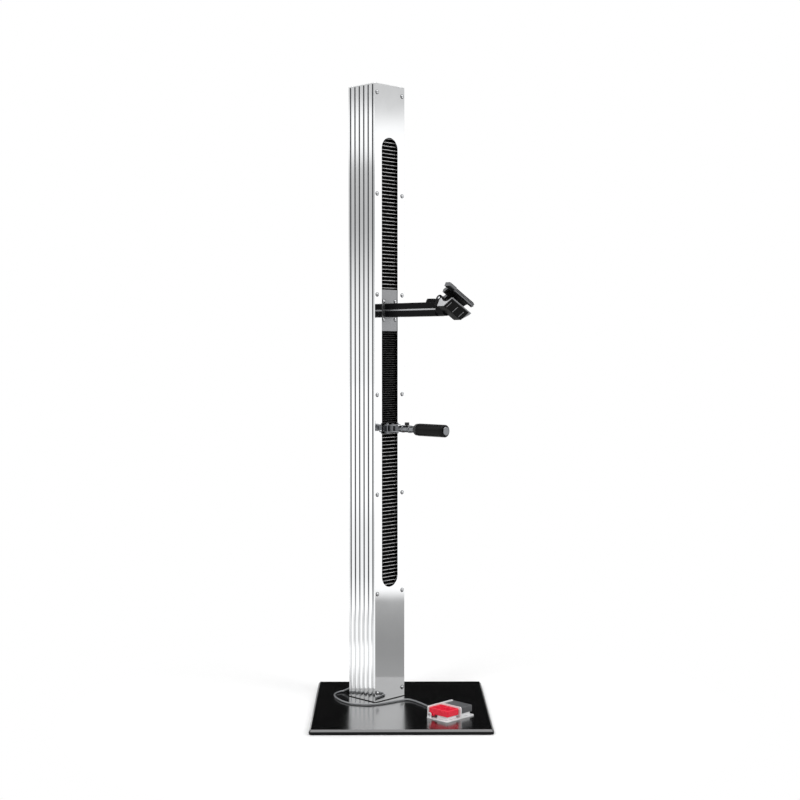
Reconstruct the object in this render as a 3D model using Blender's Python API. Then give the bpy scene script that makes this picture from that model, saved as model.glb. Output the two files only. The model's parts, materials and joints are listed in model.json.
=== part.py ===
"""Electric lift repair stand: a slotted column on a steel plate, a carriage on two guide shafts
and a screw, a tube clamp, a lower rest and a foot switch. Metres, +Z up.

The plate's edges run along X and Y. The column stands on it turned by COLUMN_TURN, and most
pieces are placed in the column's own frame: x along its front plate, y backwards, z up."""

import math

import bmesh
import bpy
from mathutils import Matrix, Vector

# Clearances, and the angle from which an edge looks sharp
GAP = 0.0003
RUNNING = 0.0003
SHARP = math.radians(31)

# Base plate on its rubber mat
MAT_T = 0.002
PLATE_X = 0.560
PLATE_Y = 0.620
PLATE_T = 0.014
PLATE_CORNER = 0.008
PLATE_CHAMFER = 0.006
PLATE_TOP = MAT_T + PLATE_T
BASE_BOLT_R = 0.004
BASE_BOLT_HEAD_R = 0.0068
BASE_BOLT_HEAD_H = 0.006
BASE_BOLT_X = 0.040
BASE_BOLT_Y = 0.026

# Column
COLUMN_TURN = math.radians(45)
COLUMN_AT = (-0.0777, 0.1050)
COLUMN_W = 0.135
COLUMN_D = 0.122
COLUMN_H = 2.000
COLUMN_BASE = PLATE_TOP + GAP
COLUMN_TOP = PLATE_TOP + COLUMN_H
FRONT_T = 0.004
BACK_T = 0.003
CAP_T = 0.004
CAP_EDGE = 0.0012
FRONT_Y = -COLUMN_D / 2
BACK_Y = COLUMN_D / 2
FRONT_IN = FRONT_Y + FRONT_T
BACK_IN = BACK_Y - BACK_T
BODY_TOP = COLUMN_TOP - CAP_T - GAP

# Slot in the front plate, heights above the base plate
SLOT_W = 0.0725
SLOT_LOW = 0.371
SLOT_FROM_TOP = 0.1695
SLOT_HIGH = COLUMN_H - SLOT_FROM_TOP

# Fluted side profiles
WALL = 0.006
FLUTES = 6
FLUTE_FIRST = 0.0100
FLUTE_PITCH = 0.0205
GROOVE_HALF = 0.0025
GROOVE_DEPTH = 0.0030
FLUTE_DISH = 0.0008
BOSS_W = 0.020
BOSS_D = 0.014
T_CENTRE = 0.0105
T_MOUTH_HALF = 0.0036
T_LIP = 0.0034
T_HALF = 0.0056
T_DEPTH = 0.0100
INNER_HALF = COLUMN_W / 2 - WALL

# Tapped strips and dome screws
STRIP_T = 0.0048
STRIP_END = 0.016
SCREWS = 7
SCREW_FIRST = 0.030
SCREW_LAST = COLUMN_H - SCREW_FIRST
SHANK_R = 0.0025
DOME_R = 0.0055
DOME_H = 0.0033
SOCKET_R = 0.0018
SOCKET_DEPTH = 0.0016
CAP_SCREW_L = 0.012

# Guide shafts and lead screw
SHAFT_X = 0.044
SHAFT_Y = 0.008
SHAFT_R = 0.010
SCREW_R = 0.008
JOURNAL_R = 0.006
BEARING_R = 0.014
BEARING_H = 0.009
BLOCK_LOW_Y = -0.032
BLOCK_HIGH_Y = 0.040
DRIVE_Z = 0.335
DRIVE_H = 0.025
HEAD_FROM_TOP = 0.075
HEAD_Z = COLUMN_H - HEAD_FROM_TOP
HEAD_H = 0.025
FOOT_BLOCK_H = 0.020
FOOT_HOLE_R = 0.017

# Motor set under the drive block
MOUNT_W = 0.072
MOUNT_D = 0.060
MOUNT_H = 0.060
MOUNT_T = 0.005
COUPLING_R = 0.0125
COUPLING_H = 0.032
GEARBOX_R = 0.031
GEARBOX_H = 0.064
PILOT_R = 0.015
SPINDLE_R = 0.005
SPINDLE_DEPTH = 0.012
MOTOR_R = 0.028
MOTOR_H = 0.096

# Control box and power entry on the back plate
CONTROL_W = 0.088
CONTROL_D = 0.0145
CONTROL_Z = 0.130
CONTROL_H = 0.170
ENTRY_Z = 0.070
ENTRY_W = 0.0270
ENTRY_H = 0.0470
ENTRY_D = 0.0240
ENTRY_RIM = 0.0035
ENTRY_RIM_T = 0.0025
INLET_W = 0.0240
INLET_H = 0.0170
INLET_D = 0.0160
INLET_DROP = 0.0105
ROCKER_W = 0.0190
ROCKER_H = 0.0130
ROCKER_RISE = 0.0130

# Carriage, heights above the base plate
CARRIAGE_FRONT = -0.036
CARRIAGE_T = 0.010
CARRIAGE_W = 0.072
CARRIAGE_LOW = 0.872
CARRIAGE_HIGH = 1.340
BUSH_H = 0.050
BUSH_BLOCK_D = 0.0515
BUSH_SIDE = 0.002
BUSH_RING_R = 0.0145
BUSH_RING_H = 0.003
NUT_R = 0.012
NUT_FLANGE_R = 0.017
NUT_FLANGE_H = 0.006
NUT_H = 0.034
WINDOW_W = 0.040
WINDOW_H = 0.080
ROOM_ABOVE = 0.245
LIFT_UP = HEAD_Z - CARRIAGE_HIGH - ROOM_ABOVE
LIFT_DOWN = 0.310
SWITCH_W = 0.020
SWITCH_D = 0.011
SWITCH_H = 0.022
SWITCH_CLEAR = 0.0010

# Bellows behind the slot
FOLD_PITCH = 0.012
MIDDLE_PITCH = 0.0073
FOLD_DEPTH = 0.012
FOLD_T = 0.0016
BELLOWS_W = 0.084
BELLOWS_RECESS = 0.010
BELLOWS_FRAME = 0.006
BELLOWS_FROM_TOP = 0.105
BELLOWS_TOP = COLUMN_H - BELLOWS_FROM_TOP
BELLOWS_BOTTOM = 0.348

# Arm, heights above the base plate and lengths out from the front plate
ARM_Z = 1.273
ARM_HALF_H = 0.022
ARM_HALF_W = 0.020
ARM_WALL = 0.003
ARM_SEAM = 0.0010
ARM_OUT = 0.2215
FLANGE_HALF_H = 0.067
FLANGE_W = 0.0695
FLANGE_T = 0.006
FLANGE_RECESS = 0.001
FLANGE_BOLT_X = 0.0262
FLANGE_BOLT_Z = 0.029
NECK_HALF_W = 0.030

# Lever on the arm
LEVER_INSET = 0.0415
LEVER_OUT = ARM_OUT - LEVER_INSET
LEVER_RISE = 0.019
LEVER_HALF_W = 0.011
LEVER_BACK = 0.008
LEVER_FRONT = 0.025
LEVER_H = 0.0115
LEVER_ROOM = 0.0132
LEVER_PIN_R = 0.0030
LEVER_HUB_R = 0.0050
LEVER_TAIL_W = 0.0030
ROD_INSET = 0.0315
ROD_START = ARM_OUT - ROD_INSET

# Clamp head: its frame has x along the tube, y backwards and z across the tube
CLAMP_TILT = math.radians(28.5)
CLAMP_FROM_ARM = 0.0585
CLAMP_OUT = ARM_OUT + CLAMP_FROM_ARM
TUBE_RISE = 0.025
TUBE_R = 0.0190
HINGE_ARM = ((-0.0540, 0.0040), (-0.0380, 0.0140), (-0.0260, 0.0255), (-0.0215, 0.0255),
             (-0.0215, 0.0125), (-0.0265, 0.0115), (-0.0380, 0.0010))
UPPER_GROOVE = ((0.0263, 0.0142), (0.0245, 0.0147), (0.0245, 0.0167), (0.0267, 0.0172))
PAD_IN = 0.0195
PAD_T = 0.0035
JAW_IN = PAD_IN + PAD_T + GAP
JAW_HALF = 0.044
JAW_EXTRA = 0.010
UPPER_EXTRA = 0.008
JAW_BACK_OUT = 0.058
LIP_DROP = 0.011
RIM_OUT = 0.026
JAW_FOOT = 0.040
JAW_BACK = 0.028
COVER_T = 0.0020
COVER_DROP = 0.004
COVER_SLOT_X = (-0.034, -0.003, 0.028)
COVER_SLOT_HALF = 0.0012
COVER_SLOT_LOW = 0.0030
COVER_SLOT_HIGH = 0.0260
BARREL_R = 0.022
HEAD_HALF = 0.032
YOKE_BACK = 0.052
YOKE_LOW = 0.030
HINGE_BACK = 0.046
HINGE_DROP = 0.003
HINGE_PIN_R = 0.004
EAR_R = 0.0115
KNUCKLE_HALF = 0.0190
UPPER_TOP = 0.0270
UPPER_FRONT = 0.0270
TAB_L = 0.032
TAB_T = 0.0125
HEEL_HALF = 0.003
HEEL_W = 0.006
HEEL_END = 0.003
ROD_R = 0.004

# Lower rest, height above the base plate and lengths out from the front plate
REST_Z = 0.8905
BRACKET_HALF_H = 0.0125
BRACKET_HALF_W = 0.030
BRACKET_FLANGE = 0.003
BRACKET_OUT = 0.022
PIVOT_OUT = 0.012
PIVOT_R = 0.004
SIDE_BOLT_X = 0.023
SIDE_BOLT_R = 0.0025
SIDE_BOLT_HEAD_R = 0.0045
SIDE_BOLT_HEAD_H = 0.004
REST_KNUCKLE_R = 0.011
REST_NECK_HALF = 0.0065
PIVOT_HEAD_R = 0.0065
PIVOT_HEAD_H = 0.0022
TUBE_START = 0.047
TUBE_END = 0.114
REST_TUBE_R = 0.0108
REST_BORE_R = 0.0078
REST_ROD_R = 0.0075
REST_ROD_IN = 0.056
CONE_START = 0.117
CONE_END = 0.1315
CONE_R = 0.0185
ROLLER_R = 0.0198
ROLLER_END = 0.246
ROLLER_BORE_R = 0.0078
REST_CAP_R = 0.0135
REST_CAP_T = 0.004
KNOB_OUT = 0.078
KNOB_R = 0.0075
KNOB_H = 0.0095
KNOB_STEM_R = 0.0025
COLLARS = (0.062, 0.092)
COLLAR_HALF = 0.004
COLLAR_RISE = 0.0012

# Foot switch: its frame has x along the guard, y backwards and z up
SWITCH_TURN = math.radians(45)
SWITCH_AT = (0.1537, -0.1615)
GUARD_LEFT = -0.061
GUARD_RIGHT = 0.067
GUARD_FRONT = -0.042
GUARD_BACK = 0.046
GUARD_T = 0.003
GUARD_H = 0.037
GUARD_ROUND = 0.006
DIVIDER_X = 0.0055
PEDAL_W = 0.052
PEDAL_FRONT = -0.036
PEDAL_BACK = 0.0405
PEDAL_TOP = 0.0340
PEDAL_SKIRT = 0.0090
PEDAL_LIFT = 0.0145
PEDAL_HEEL = 0.0160
PEDAL_WALL = 0.003
PEDAL_EDGE = 0.0022
RED_X = -0.0265
GREY_X = 0.0365
PIN_Y = 0.034
PIN_Z = 0.0140
PIN_R = 0.0020
PIN_EAR_T = 0.0028
BLOCK_W = 0.042
BLOCK_D = 0.044
BLOCK_H = 0.014
BLOCK_Y = -0.0095
PLUNGER_Y = -0.0100
PLUNGER_R = 0.003
PLUNGER_TOP = 0.0270

# Cable between the column and the foot switch
CABLE_R = 0.003
GLAND_R = 0.0080
GLAND_HEX_H = 0.005
GLAND_L = 0.018
GLAND_NOSE_R = 0.0050
COLUMN_GLAND_X = -0.038
COLUMN_GLAND_Z = 0.034
GUARD_GLAND_X = 0.020
GUARD_GLAND_Z = 0.0120
CABLE_STEP = 0.0150
CABLE_STUB = 0.0080
CABLE_LIE = PLATE_TOP + CABLE_R + GAP


def finish(name, colour, roughness, metallic):
    """A plain surface finish: colour is linear RGB."""
    found = bpy.data.materials.get(name)
    if found:
        return found
    made = bpy.data.materials.new(name)
    made.use_nodes = True
    shader = made.node_tree.nodes["Principled BSDF"]
    shader.inputs["Base Color"].default_value = (*colour, 1.0)
    shader.inputs["Roughness"].default_value = roughness
    shader.inputs["Metallic"].default_value = metallic
    return made


def brushed_aluminium():
    return finish("brushed_aluminium", (0.72, 0.72, 0.73), 0.28, 1.0)


def cast_aluminium():
    return finish("cast_aluminium", (0.42, 0.42, 0.43), 0.45, 1.0)


def black_enamel():
    return finish("black_enamel", (0.008, 0.008, 0.009), 0.12, 0.0)


def satin_black():
    return finish("satin_black", (0.015, 0.015, 0.016), 0.40, 0.0)


def bright_steel():
    return finish("bright_steel", (0.62, 0.62, 0.63), 0.22, 1.0)


def bronze():
    return finish("bronze", (0.45, 0.25, 0.10), 0.35, 1.0)


def black_rubber():
    return finish("black_rubber", (0.012, 0.012, 0.012), 0.70, 0.0)


def red_plastic():
    return finish("red_plastic", (0.60, 0.012, 0.025), 0.35, 0.0)


def grey_plastic():
    return finish("grey_plastic", (0.06, 0.06, 0.062), 0.45, 0.0)


def light_paint():
    return finish("light_grey_paint", (0.52, 0.52, 0.50), 0.35, 0.0)


def light_plastic():
    return finish("light_grey_plastic", (0.52, 0.52, 0.51), 0.45, 0.0)


def frame_empty(name, place, turn=(0, 0, 0), parent=None):
    empty = bpy.data.objects.new(name, None)
    empty.location = place
    empty.rotation_euler = turn
    empty.parent = parent
    bpy.context.scene.collection.objects.link(empty)
    return empty


def piece(name, shape, material, parent=None, at=(0, 0, 0), turn=(0, 0, 0)):
    """Makes a named object from a bmesh. Edges sharper than SHARP stay sharp."""
    bmesh.ops.recalc_face_normals(shape, faces=shape.faces)
    mesh = bpy.data.meshes.new(name)
    shape.to_mesh(mesh)
    shape.free()
    mesh.materials.append(material)
    mesh.shade_smooth()
    mesh.set_sharp_from_angle(angle=SHARP)
    made = bpy.data.objects.new(name, mesh)
    made.location = at
    made.rotation_euler = turn
    made.parent = parent
    bpy.context.scene.collection.objects.link(made)
    return made


def tool(target, shape, operation):
    """Applies one Boolean with a helper that is built in the target's own frame."""
    name = f"{target.name}_{operation.lower()}_{len(target.modifiers)}"
    helper = piece(name, shape, target.data.materials[0], target.parent,
                   target.location, target.rotation_euler)
    helper.hide_render = True
    helper.display_type = "WIRE"
    boolean = target.modifiers.new(operation.lower(), "BOOLEAN")
    boolean.operation = operation
    boolean.solver = "EXACT"
    boolean.object = helper
    return target


def cut(target, shape):
    return tool(target, shape, "DIFFERENCE")


def join(target, shape):
    return tool(target, shape, "UNION")


AXES = {
    "x": lambda u, v, w: (w, u, v),
    "y": lambda u, v, w: (u, w, v),
    "z": lambda u, v, w: (u, v, w),
}


def prism(outline, low, high, axis="z", shape=None):
    """Extrudes an outline from low to high along an axis; u and v are the other two, in order."""
    shape = shape or bmesh.new()
    place = AXES[axis]
    corners = [shape.verts.new(place(u, v, low)) for u, v in outline]
    face = shape.faces.new(corners)
    grown = bmesh.ops.extrude_face_region(shape, geom=[face])["geom"]
    moved = [item for item in grown if isinstance(item, bmesh.types.BMVert)]
    step = Vector(place(0, 0, high)) - Vector(place(0, 0, low))
    bmesh.ops.translate(shape, verts=moved, vec=step)
    return shape


def box(low, high, shape=None):
    outline = [(low[0], low[1]), (high[0], low[1]), (high[0], high[1]), (low[0], high[1])]
    return prism(outline, low[2], high[2], "z", shape)


def arc(centre, radius, start, end, steps):
    """Points on an arc from start to end degrees, both included."""
    points = []
    for index in range(steps + 1):
        angle = math.radians(start + (end - start) * index / steps)
        points.append((centre[0] + radius * math.cos(angle), centre[1] + radius * math.sin(angle)))
    return points


def circle(centre, radius, steps):
    return arc(centre, radius, 0, 360, steps)[:-1]


def rounded(low, high, radius, steps=4):
    """A rectangle's outline with round corners."""
    (x0, y0), (x1, y1) = low, high
    corners = [((x1 - radius, y0 + radius), -90), ((x1 - radius, y1 - radius), 0),
               ((x0 + radius, y1 - radius), 90), ((x0 + radius, y0 + radius), 180)]
    points = []
    for centre, start in corners:
        points += arc(centre, radius, start, start + 90, steps)
    return points


def rod(place, radius, low, high, axis="z", steps=24, shape=None):
    """A plain cylinder; place is its centre in the two axes it doesn't run along."""
    return prism(circle(place, radius, steps), low, high, axis, shape)


def turned(profile, steps=32, shape=None):
    """Turns an outline of (radius, height) about Z. A ring's outline is given as a closed loop."""
    part = bmesh.new()
    points = [part.verts.new((radius, 0, height)) for radius, height in profile]
    edges = [part.edges.new(pair) for pair in zip(points, points[1:])]
    if profile[0][0] > 0:
        edges.append(part.edges.new((points[-1], points[0])))
    bmesh.ops.spin(part, geom=points + edges, cent=(0, 0, 0), axis=(0, 0, 1),
                   angle=2 * math.pi, steps=steps, use_merge=True)
    bmesh.ops.remove_doubles(part, verts=part.verts, dist=1e-6)
    return part


def turned_about(profile, axis, place=(0, 0, 0), steps=32):
    """A turned shape whose profile heights run along x, y, -y or z from place."""
    angle, about = {"x": (90, "Y"), "y": (-90, "X"), "-y": (90, "X"), "z": (0, "Z")}[axis]
    shape = turned(profile, steps)
    move = Matrix.Translation(place) @ Matrix.Rotation(math.radians(angle), 4, about)
    bmesh.ops.transform(shape, matrix=move, verts=shape.verts)
    return shape


def merged(shapes):
    """Puts shapes that don't touch each other into one bmesh."""
    whole = bmesh.new()
    for shape in shapes:
        bmesh.ops.recalc_face_normals(shape, faces=shape.faces)
        scratch = bpy.data.meshes.new("scratch")
        shape.to_mesh(scratch)
        shape.free()
        whole.from_mesh(scratch)
        bpy.data.meshes.remove(scratch)
    return whole


def drum(radius, low, high, edge=0.0):
    """The profile of a solid disc or bar, with its outer edges chamfered by edge."""
    if not edge:
        return [(0, low), (radius, low), (radius, high), (0, high)]
    return [(0, low), (radius - edge, low), (radius, low + edge),
            (radius, high - edge), (radius - edge, high), (0, high)]


def dome(low, foot, socket=True):
    """The profile of a dome head that stands on low; foot is what lies under the head."""
    rise = low + 0.0009
    cap = [(DOME_R, low), (DOME_R, rise), (DOME_R * 0.86, low + DOME_H * 0.66)]
    if socket:
        cap += [(SOCKET_R, low + DOME_H), (SOCKET_R, low + DOME_H - SOCKET_DEPTH)]
        cap += [(0, low + DOME_H - SOCKET_DEPTH)]
    else:
        cap += [(0, low + DOME_H)]
    return foot + cap


def screw_heights():
    pitch = (SCREW_LAST - SCREW_FIRST) / (SCREWS - 1)
    return [PLATE_TOP + SCREW_FIRST + index * pitch for index in range(SCREWS)]


def screw_places():
    """Side offset of the two screw rows on the front and back plates."""
    return [side * (COLUMN_W / 2 - T_CENTRE) for side in (-1, 1)]


def make_base():
    mat = prism(rounded((-PLATE_X / 2 + 0.004, -PLATE_Y / 2 + 0.004),
                        (PLATE_X / 2 - 0.004, PLATE_Y / 2 - 0.004), PLATE_CORNER, 3),
                0, MAT_T - GAP)
    piece("rubber_mat", mat, black_rubber())
    plate = prism(rounded((-PLATE_X / 2, -PLATE_Y / 2), (PLATE_X / 2, PLATE_Y / 2), PLATE_CORNER, 3),
                  MAT_T, PLATE_TOP)
    rim = [edge for edge in plate.edges if all(v.co.z > PLATE_TOP - GAP for v in edge.verts)]
    bmesh.ops.bevel(plate, geom=rim, offset=PLATE_CHAMFER, affect="EDGES", segments=1,
                    profile=0.5, material=-1)
    made = piece("base_plate", plate, black_enamel())
    return cut(made, merged([base_bolt_hole(x, y) for x, y in base_bolts()]))


def base_bolts():
    """World places of the four bolts that hold the column's foot block."""
    spin = Matrix.Rotation(COLUMN_TURN, 2)
    found = []
    for x in (-BASE_BOLT_X, BASE_BOLT_X):
        for y in (-BASE_BOLT_Y, BASE_BOLT_Y):
            place = spin @ Vector((x, y))
            found.append((COLUMN_AT[0] + place.x, COLUMN_AT[1] + place.y))
    return found


def base_bolt_hole(x, y):
    head = BASE_BOLT_HEAD_R + GAP
    shank = BASE_BOLT_R + GAP
    step = MAT_T + BASE_BOLT_HEAD_H + 2 * GAP
    profile = [(0, MAT_T - 0.001), (head, MAT_T - 0.001), (head, step), (shank, step),
               (shank, PLATE_TOP + 0.001), (0, PLATE_TOP + 0.001)]
    return turned_about(profile, "z", (x, y, 0), 12)


def make_foot_block(column):
    low = COLUMN_BASE
    high = COLUMN_BASE + FOOT_BLOCK_H
    block = prism(rounded((-INNER_HALF + GAP, BLOCK_LOW_Y), (INNER_HALF - GAP, BLOCK_HIGH_Y), 0.003, 2),
                  low, high)
    made = piece("foot_block", block, cast_aluminium(), column)
    bolts = []
    for x in (-BASE_BOLT_X, BASE_BOLT_X):
        for y in (-BASE_BOLT_Y, BASE_BOLT_Y):
            head = MAT_T + 2 * GAP
            seat = head + BASE_BOLT_HEAD_H - GAP
            profile = [(0, head), (BASE_BOLT_HEAD_R, head), (BASE_BOLT_HEAD_R, seat),
                       (BASE_BOLT_R, seat), (BASE_BOLT_R, low + 0.010), (0, low + 0.010)]
            bolts.append(turned_about(profile, "z", (x, y, 0), 8))
    join(made, merged(bolts))
    return cut(made, rod((0, SHAFT_Y), FOOT_HOLE_R, low - 0.001, high + 0.001, "z", 16))


def flute_outline():
    """The fluted outer face of a side profile, front to back, as (depth, y)."""
    points = [(0, FRONT_IN + GAP)]
    for index in range(FLUTES):
        middle = FRONT_Y + FLUTE_FIRST + index * FLUTE_PITCH
        if index:
            start = middle - FLUTE_PITCH + GROOVE_HALF
            width = FLUTE_PITCH - 2 * GROOVE_HALF
            points += [(FLUTE_DISH * math.sin(math.pi * share), start + width * share)
                       for share in (0.25, 0.5, 0.75)]
        points += [(0, middle - GROOVE_HALF), (GROOVE_DEPTH, middle - GROOVE_HALF * 0.45),
                   (GROOVE_DEPTH, middle + GROOVE_HALF * 0.45), (0, middle + GROOVE_HALF)]
    return points + [(0, BACK_IN - GAP)]


def t_slot(face, inward):
    """The T slot of a corner boss, from its outer to its inner side; inward is 1 or -1."""
    lip = face + inward * T_LIP
    floor = face + inward * T_DEPTH
    near = [(T_CENTRE - T_MOUTH_HALF, face), (T_CENTRE - T_MOUTH_HALF, lip),
            (T_CENTRE - T_HALF, lip), (T_CENTRE - T_HALF, floor)]
    far = [(2 * T_CENTRE - depth, y) for depth, y in reversed(near)]
    return near + far


def make_side_profile(name, side, column):
    front = FRONT_IN + GAP
    back = BACK_IN - GAP
    outline = flute_outline() + t_slot(back, -1)
    outline += [(BOSS_W, back), (BOSS_W, back - BOSS_D), (WALL, back - BOSS_D)]
    outline += [(WALL, front + BOSS_D), (BOSS_W, front + BOSS_D), (BOSS_W, front)]
    outline += list(reversed(t_slot(front, 1)))
    placed = [(side * (COLUMN_W / 2 - depth), y) for depth, y in outline]
    return piece(name, prism(placed, COLUMN_BASE, BODY_TOP), brushed_aluminium(), column)


def make_front_plate(column):
    plate = box((-COLUMN_W / 2, FRONT_Y, COLUMN_BASE), (COLUMN_W / 2, FRONT_IN, BODY_TOP))
    made = piece("front_plate", plate, brushed_aluminium(), column)
    radius = SLOT_W / 2
    low = PLATE_TOP + SLOT_LOW + radius
    high = PLATE_TOP + SLOT_HIGH - radius
    slot = arc((0, high), radius, 0, 180, 16) + arc((0, low), radius, 180, 360, 16)
    openings = [prism(slot, FRONT_Y - 0.001, FRONT_IN + 0.001, "y")]
    for x in screw_places():
        for z in screw_heights():
            openings.append(rod((x, z), SHANK_R + GAP, FRONT_Y - 0.001, FRONT_IN + 0.001, "y", 8))
    return cut(made, merged(openings))


def make_strip(name, x, column):
    """A tapped strip in a profile's T slot, with the dome screws that run into it."""
    front = FRONT_IN + GAP + T_LIP + GAP
    low = COLUMN_BASE + STRIP_END
    high = COLUMN_TOP - CAP_T - CAP_SCREW_L - 0.002
    half = T_HALF - GAP
    strip = box((x - half, front, low), (x + half, front + STRIP_T, high))
    made = piece(name, strip, bright_steel(), column)
    inside = FRONT_Y - front - STRIP_T * 0.6
    foot = [(0, inside), (SHANK_R, inside), (SHANK_R, GAP)]
    screws = [turned_about(dome(GAP, foot), "-y", (x, FRONT_Y, z), 8) for z in screw_heights()]
    return join(made, merged(screws))


def make_back_plate(column):
    plate = box((-COLUMN_W / 2, BACK_IN, COLUMN_BASE), (COLUMN_W / 2, BACK_Y, BODY_TOP))
    made = piece("back_plate", plate, brushed_aluminium(), column)
    heads = []
    for x in screw_places():
        for z in screw_heights():
            heads.append(turned_about(dome(0, [(0, -0.001), (DOME_R, -0.001)], False), "y",
                                      (x, BACK_Y, z), 8))
    join(made, merged(heads))
    entry = box((-ENTRY_W / 2 - GAP, BACK_IN - 0.001, entry_middle() - ENTRY_H / 2 - GAP),
                (ENTRY_W / 2 + GAP, BACK_Y + 0.001, entry_middle() + ENTRY_H / 2 + GAP))
    gland = rod((COLUMN_GLAND_X, COLUMN_GLAND_Z), GLAND_NOSE_R + GAP, BACK_IN - 0.001, BACK_Y + 0.001,
                "y", 16)
    return cut(made, merged([entry, gland]))


def make_top_cap(column):
    low = COLUMN_TOP - CAP_T
    plate = box((-COLUMN_W / 2, FRONT_Y, low), (COLUMN_W / 2, BACK_Y, COLUMN_TOP))
    edges = [edge for edge in plate.edges if all(v.co.z > low + GAP for v in edge.verts)]
    bmesh.ops.bevel(plate, geom=edges, offset=CAP_EDGE, affect="EDGES", segments=2, profile=0.5,
                    material=-1)
    made = piece("top_cap", plate, brushed_aluminium(), column)
    middle = (T_LIP + T_DEPTH) / 2
    screws = []
    for x in screw_places():
        for y in (FRONT_IN + GAP + middle, BACK_IN - GAP - middle):
            foot = [(0, -CAP_T - CAP_SCREW_L), (SHANK_R, -CAP_T - CAP_SCREW_L), (SHANK_R, -0.001),
                    (DOME_R, -0.001)]
            screws.append(turned_about(dome(0, foot), "z", (x, y, COLUMN_TOP), 10))
    return join(made, merged(screws))


def make_end_block(name, low, high, seat_low, seat_high, column):
    """A machined block across the column that holds the guide shafts and a screw bearing."""
    block = prism(rounded((-INNER_HALF + GAP, BLOCK_LOW_Y), (INNER_HALF - GAP, BLOCK_HIGH_Y), 0.003, 2),
                  low, high)
    made = piece(name, block, cast_aluminium(), column)
    bores = [rod((side * SHAFT_X, SHAFT_Y), SHAFT_R + GAP, low - 0.001, high + 0.001, "z", 14)
             for side in (-1, 1)]
    seat = [(0, low - 0.001), (JOURNAL_R + 0.003, low - 0.001), (JOURNAL_R + 0.003, seat_low),
            (BEARING_R + GAP, seat_low), (BEARING_R + GAP, seat_high), (0, seat_high)]
    if seat_high < high:
        seat = [(0, seat_low), (BEARING_R + GAP, seat_low), (BEARING_R + GAP, seat_high),
                (JOURNAL_R + 0.003, seat_high), (JOURNAL_R + 0.003, high + 0.001), (0, high + 0.001)]
    bores.append(turned_about(seat, "z", (0, SHAFT_Y, 0), 16))
    return cut(made, merged(bores))


def make_guides(column):
    drive_top = DRIVE_Z + DRIVE_H
    head_top = HEAD_Z + HEAD_H
    make_end_block("drive_block", DRIVE_Z, drive_top, drive_top - BEARING_H - GAP, drive_top + 0.001,
                   column)
    make_end_block("head_block", HEAD_Z, head_top, HEAD_Z - 0.001, HEAD_Z + BEARING_H + GAP, column)
    for name, side in (("guide_shaft_left", -1), ("guide_shaft_right", 1)):
        shaft = turned(drum(SHAFT_R, DRIVE_Z + 0.001, head_top - 0.001, 0.001), 16)
        piece(name, shaft, bright_steel(), column, (side * SHAFT_X, SHAFT_Y, 0))
    for name, low in (("screw_bearing_low", drive_top - BEARING_H), ("screw_bearing_top", HEAD_Z)):
        piece(name, turned(bearing_profile(low), 12), bright_steel(), column, (0, SHAFT_Y, 0))


def bearing_profile(low):
    """A ball bearing's ring with the step between its races and shield."""
    inner = JOURNAL_R + GAP
    high = low + BEARING_H
    dish = 0.0008
    top = [(BEARING_R, high), (BEARING_R - 0.002, high), (BEARING_R - 0.002, high - dish),
           (inner + 0.002, high - dish), (inner + 0.002, high), (inner, high)]
    return [(inner, low), (BEARING_R, low)] + top


def make_screw(column):
    bottom = DRIVE_Z - 0.016
    shoulder_low = DRIVE_Z + DRIVE_H + GAP
    shoulder_high = HEAD_Z - GAP
    profile = [(0, bottom), (JOURNAL_R, bottom), (JOURNAL_R, shoulder_low), (SCREW_R, shoulder_low),
               (SCREW_R, shoulder_high), (JOURNAL_R, shoulder_high),
               (JOURNAL_R, HEAD_Z + HEAD_H - 0.003), (0, HEAD_Z + HEAD_H - 0.003)]
    piece("lead_screw", turned(profile, 12), bright_steel(), column, (0, SHAFT_Y, 0))
    make_coupling(column, bottom)


def make_coupling(column, journal_bottom):
    """A jaw coupling: its bore takes the screw's journal and its stub enters the gearbox."""
    high = DRIVE_Z - MOUNT_T - 0.002
    low = high - COUPLING_H
    bore = JOURNAL_R + GAP
    floor = journal_bottom - GAP
    waist = low + COUPLING_H / 2
    stub = DRIVE_Z - MOUNT_H - 2 * GAP - SPINDLE_DEPTH + 0.001
    profile = [(0, stub), (SPINDLE_R, stub), (SPINDLE_R, low), (COUPLING_R, low),
               (COUPLING_R, waist - 0.003), (COUPLING_R - 0.002, waist - 0.003),
               (COUPLING_R - 0.002, waist + 0.003), (COUPLING_R, waist + 0.003),
               (COUPLING_R, high), (bore, high), (bore, floor), (0, floor)]
    made = piece("shaft_coupling", turned(profile, 12), cast_aluminium(), column, (0, SHAFT_Y, 0))
    slots = [box((-0.002, reach, waist - 0.0020), (0.002, reach + 0.004, waist + 0.0020))
             for reach in (COUPLING_R - 0.0035, -COUPLING_R - 0.0005)]
    return cut(made, merged(slots))


def make_motor(column):
    top = DRIVE_Z - GAP
    low = top - MOUNT_H
    half = MOUNT_W / 2
    front = SHAFT_Y - MOUNT_D / 2
    back = SHAFT_Y + MOUNT_D / 2
    mount = prism(rounded((-half, low), (half, top), 0.002, 2), front, back, "y")
    made = piece("motor_mount", mount, cast_aluminium(), column)
    inside = prism(rounded((-half + MOUNT_T, low + MOUNT_T), (half - MOUNT_T, top - MOUNT_T), 0.004, 3),
                   front - 0.001, back + 0.001, "y")
    cut(made, inside)
    cut(made, merged([rod((0, SHAFT_Y), PILOT_R + GAP, low - 0.001, low + MOUNT_T + 0.001, "z", 24)]))
    cut(made, merged([rod((0, SHAFT_Y), JOURNAL_R + 0.003, top - MOUNT_T - 0.001, top + 0.001, "z", 20)]))
    make_gearbox(column, low - GAP)


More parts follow.
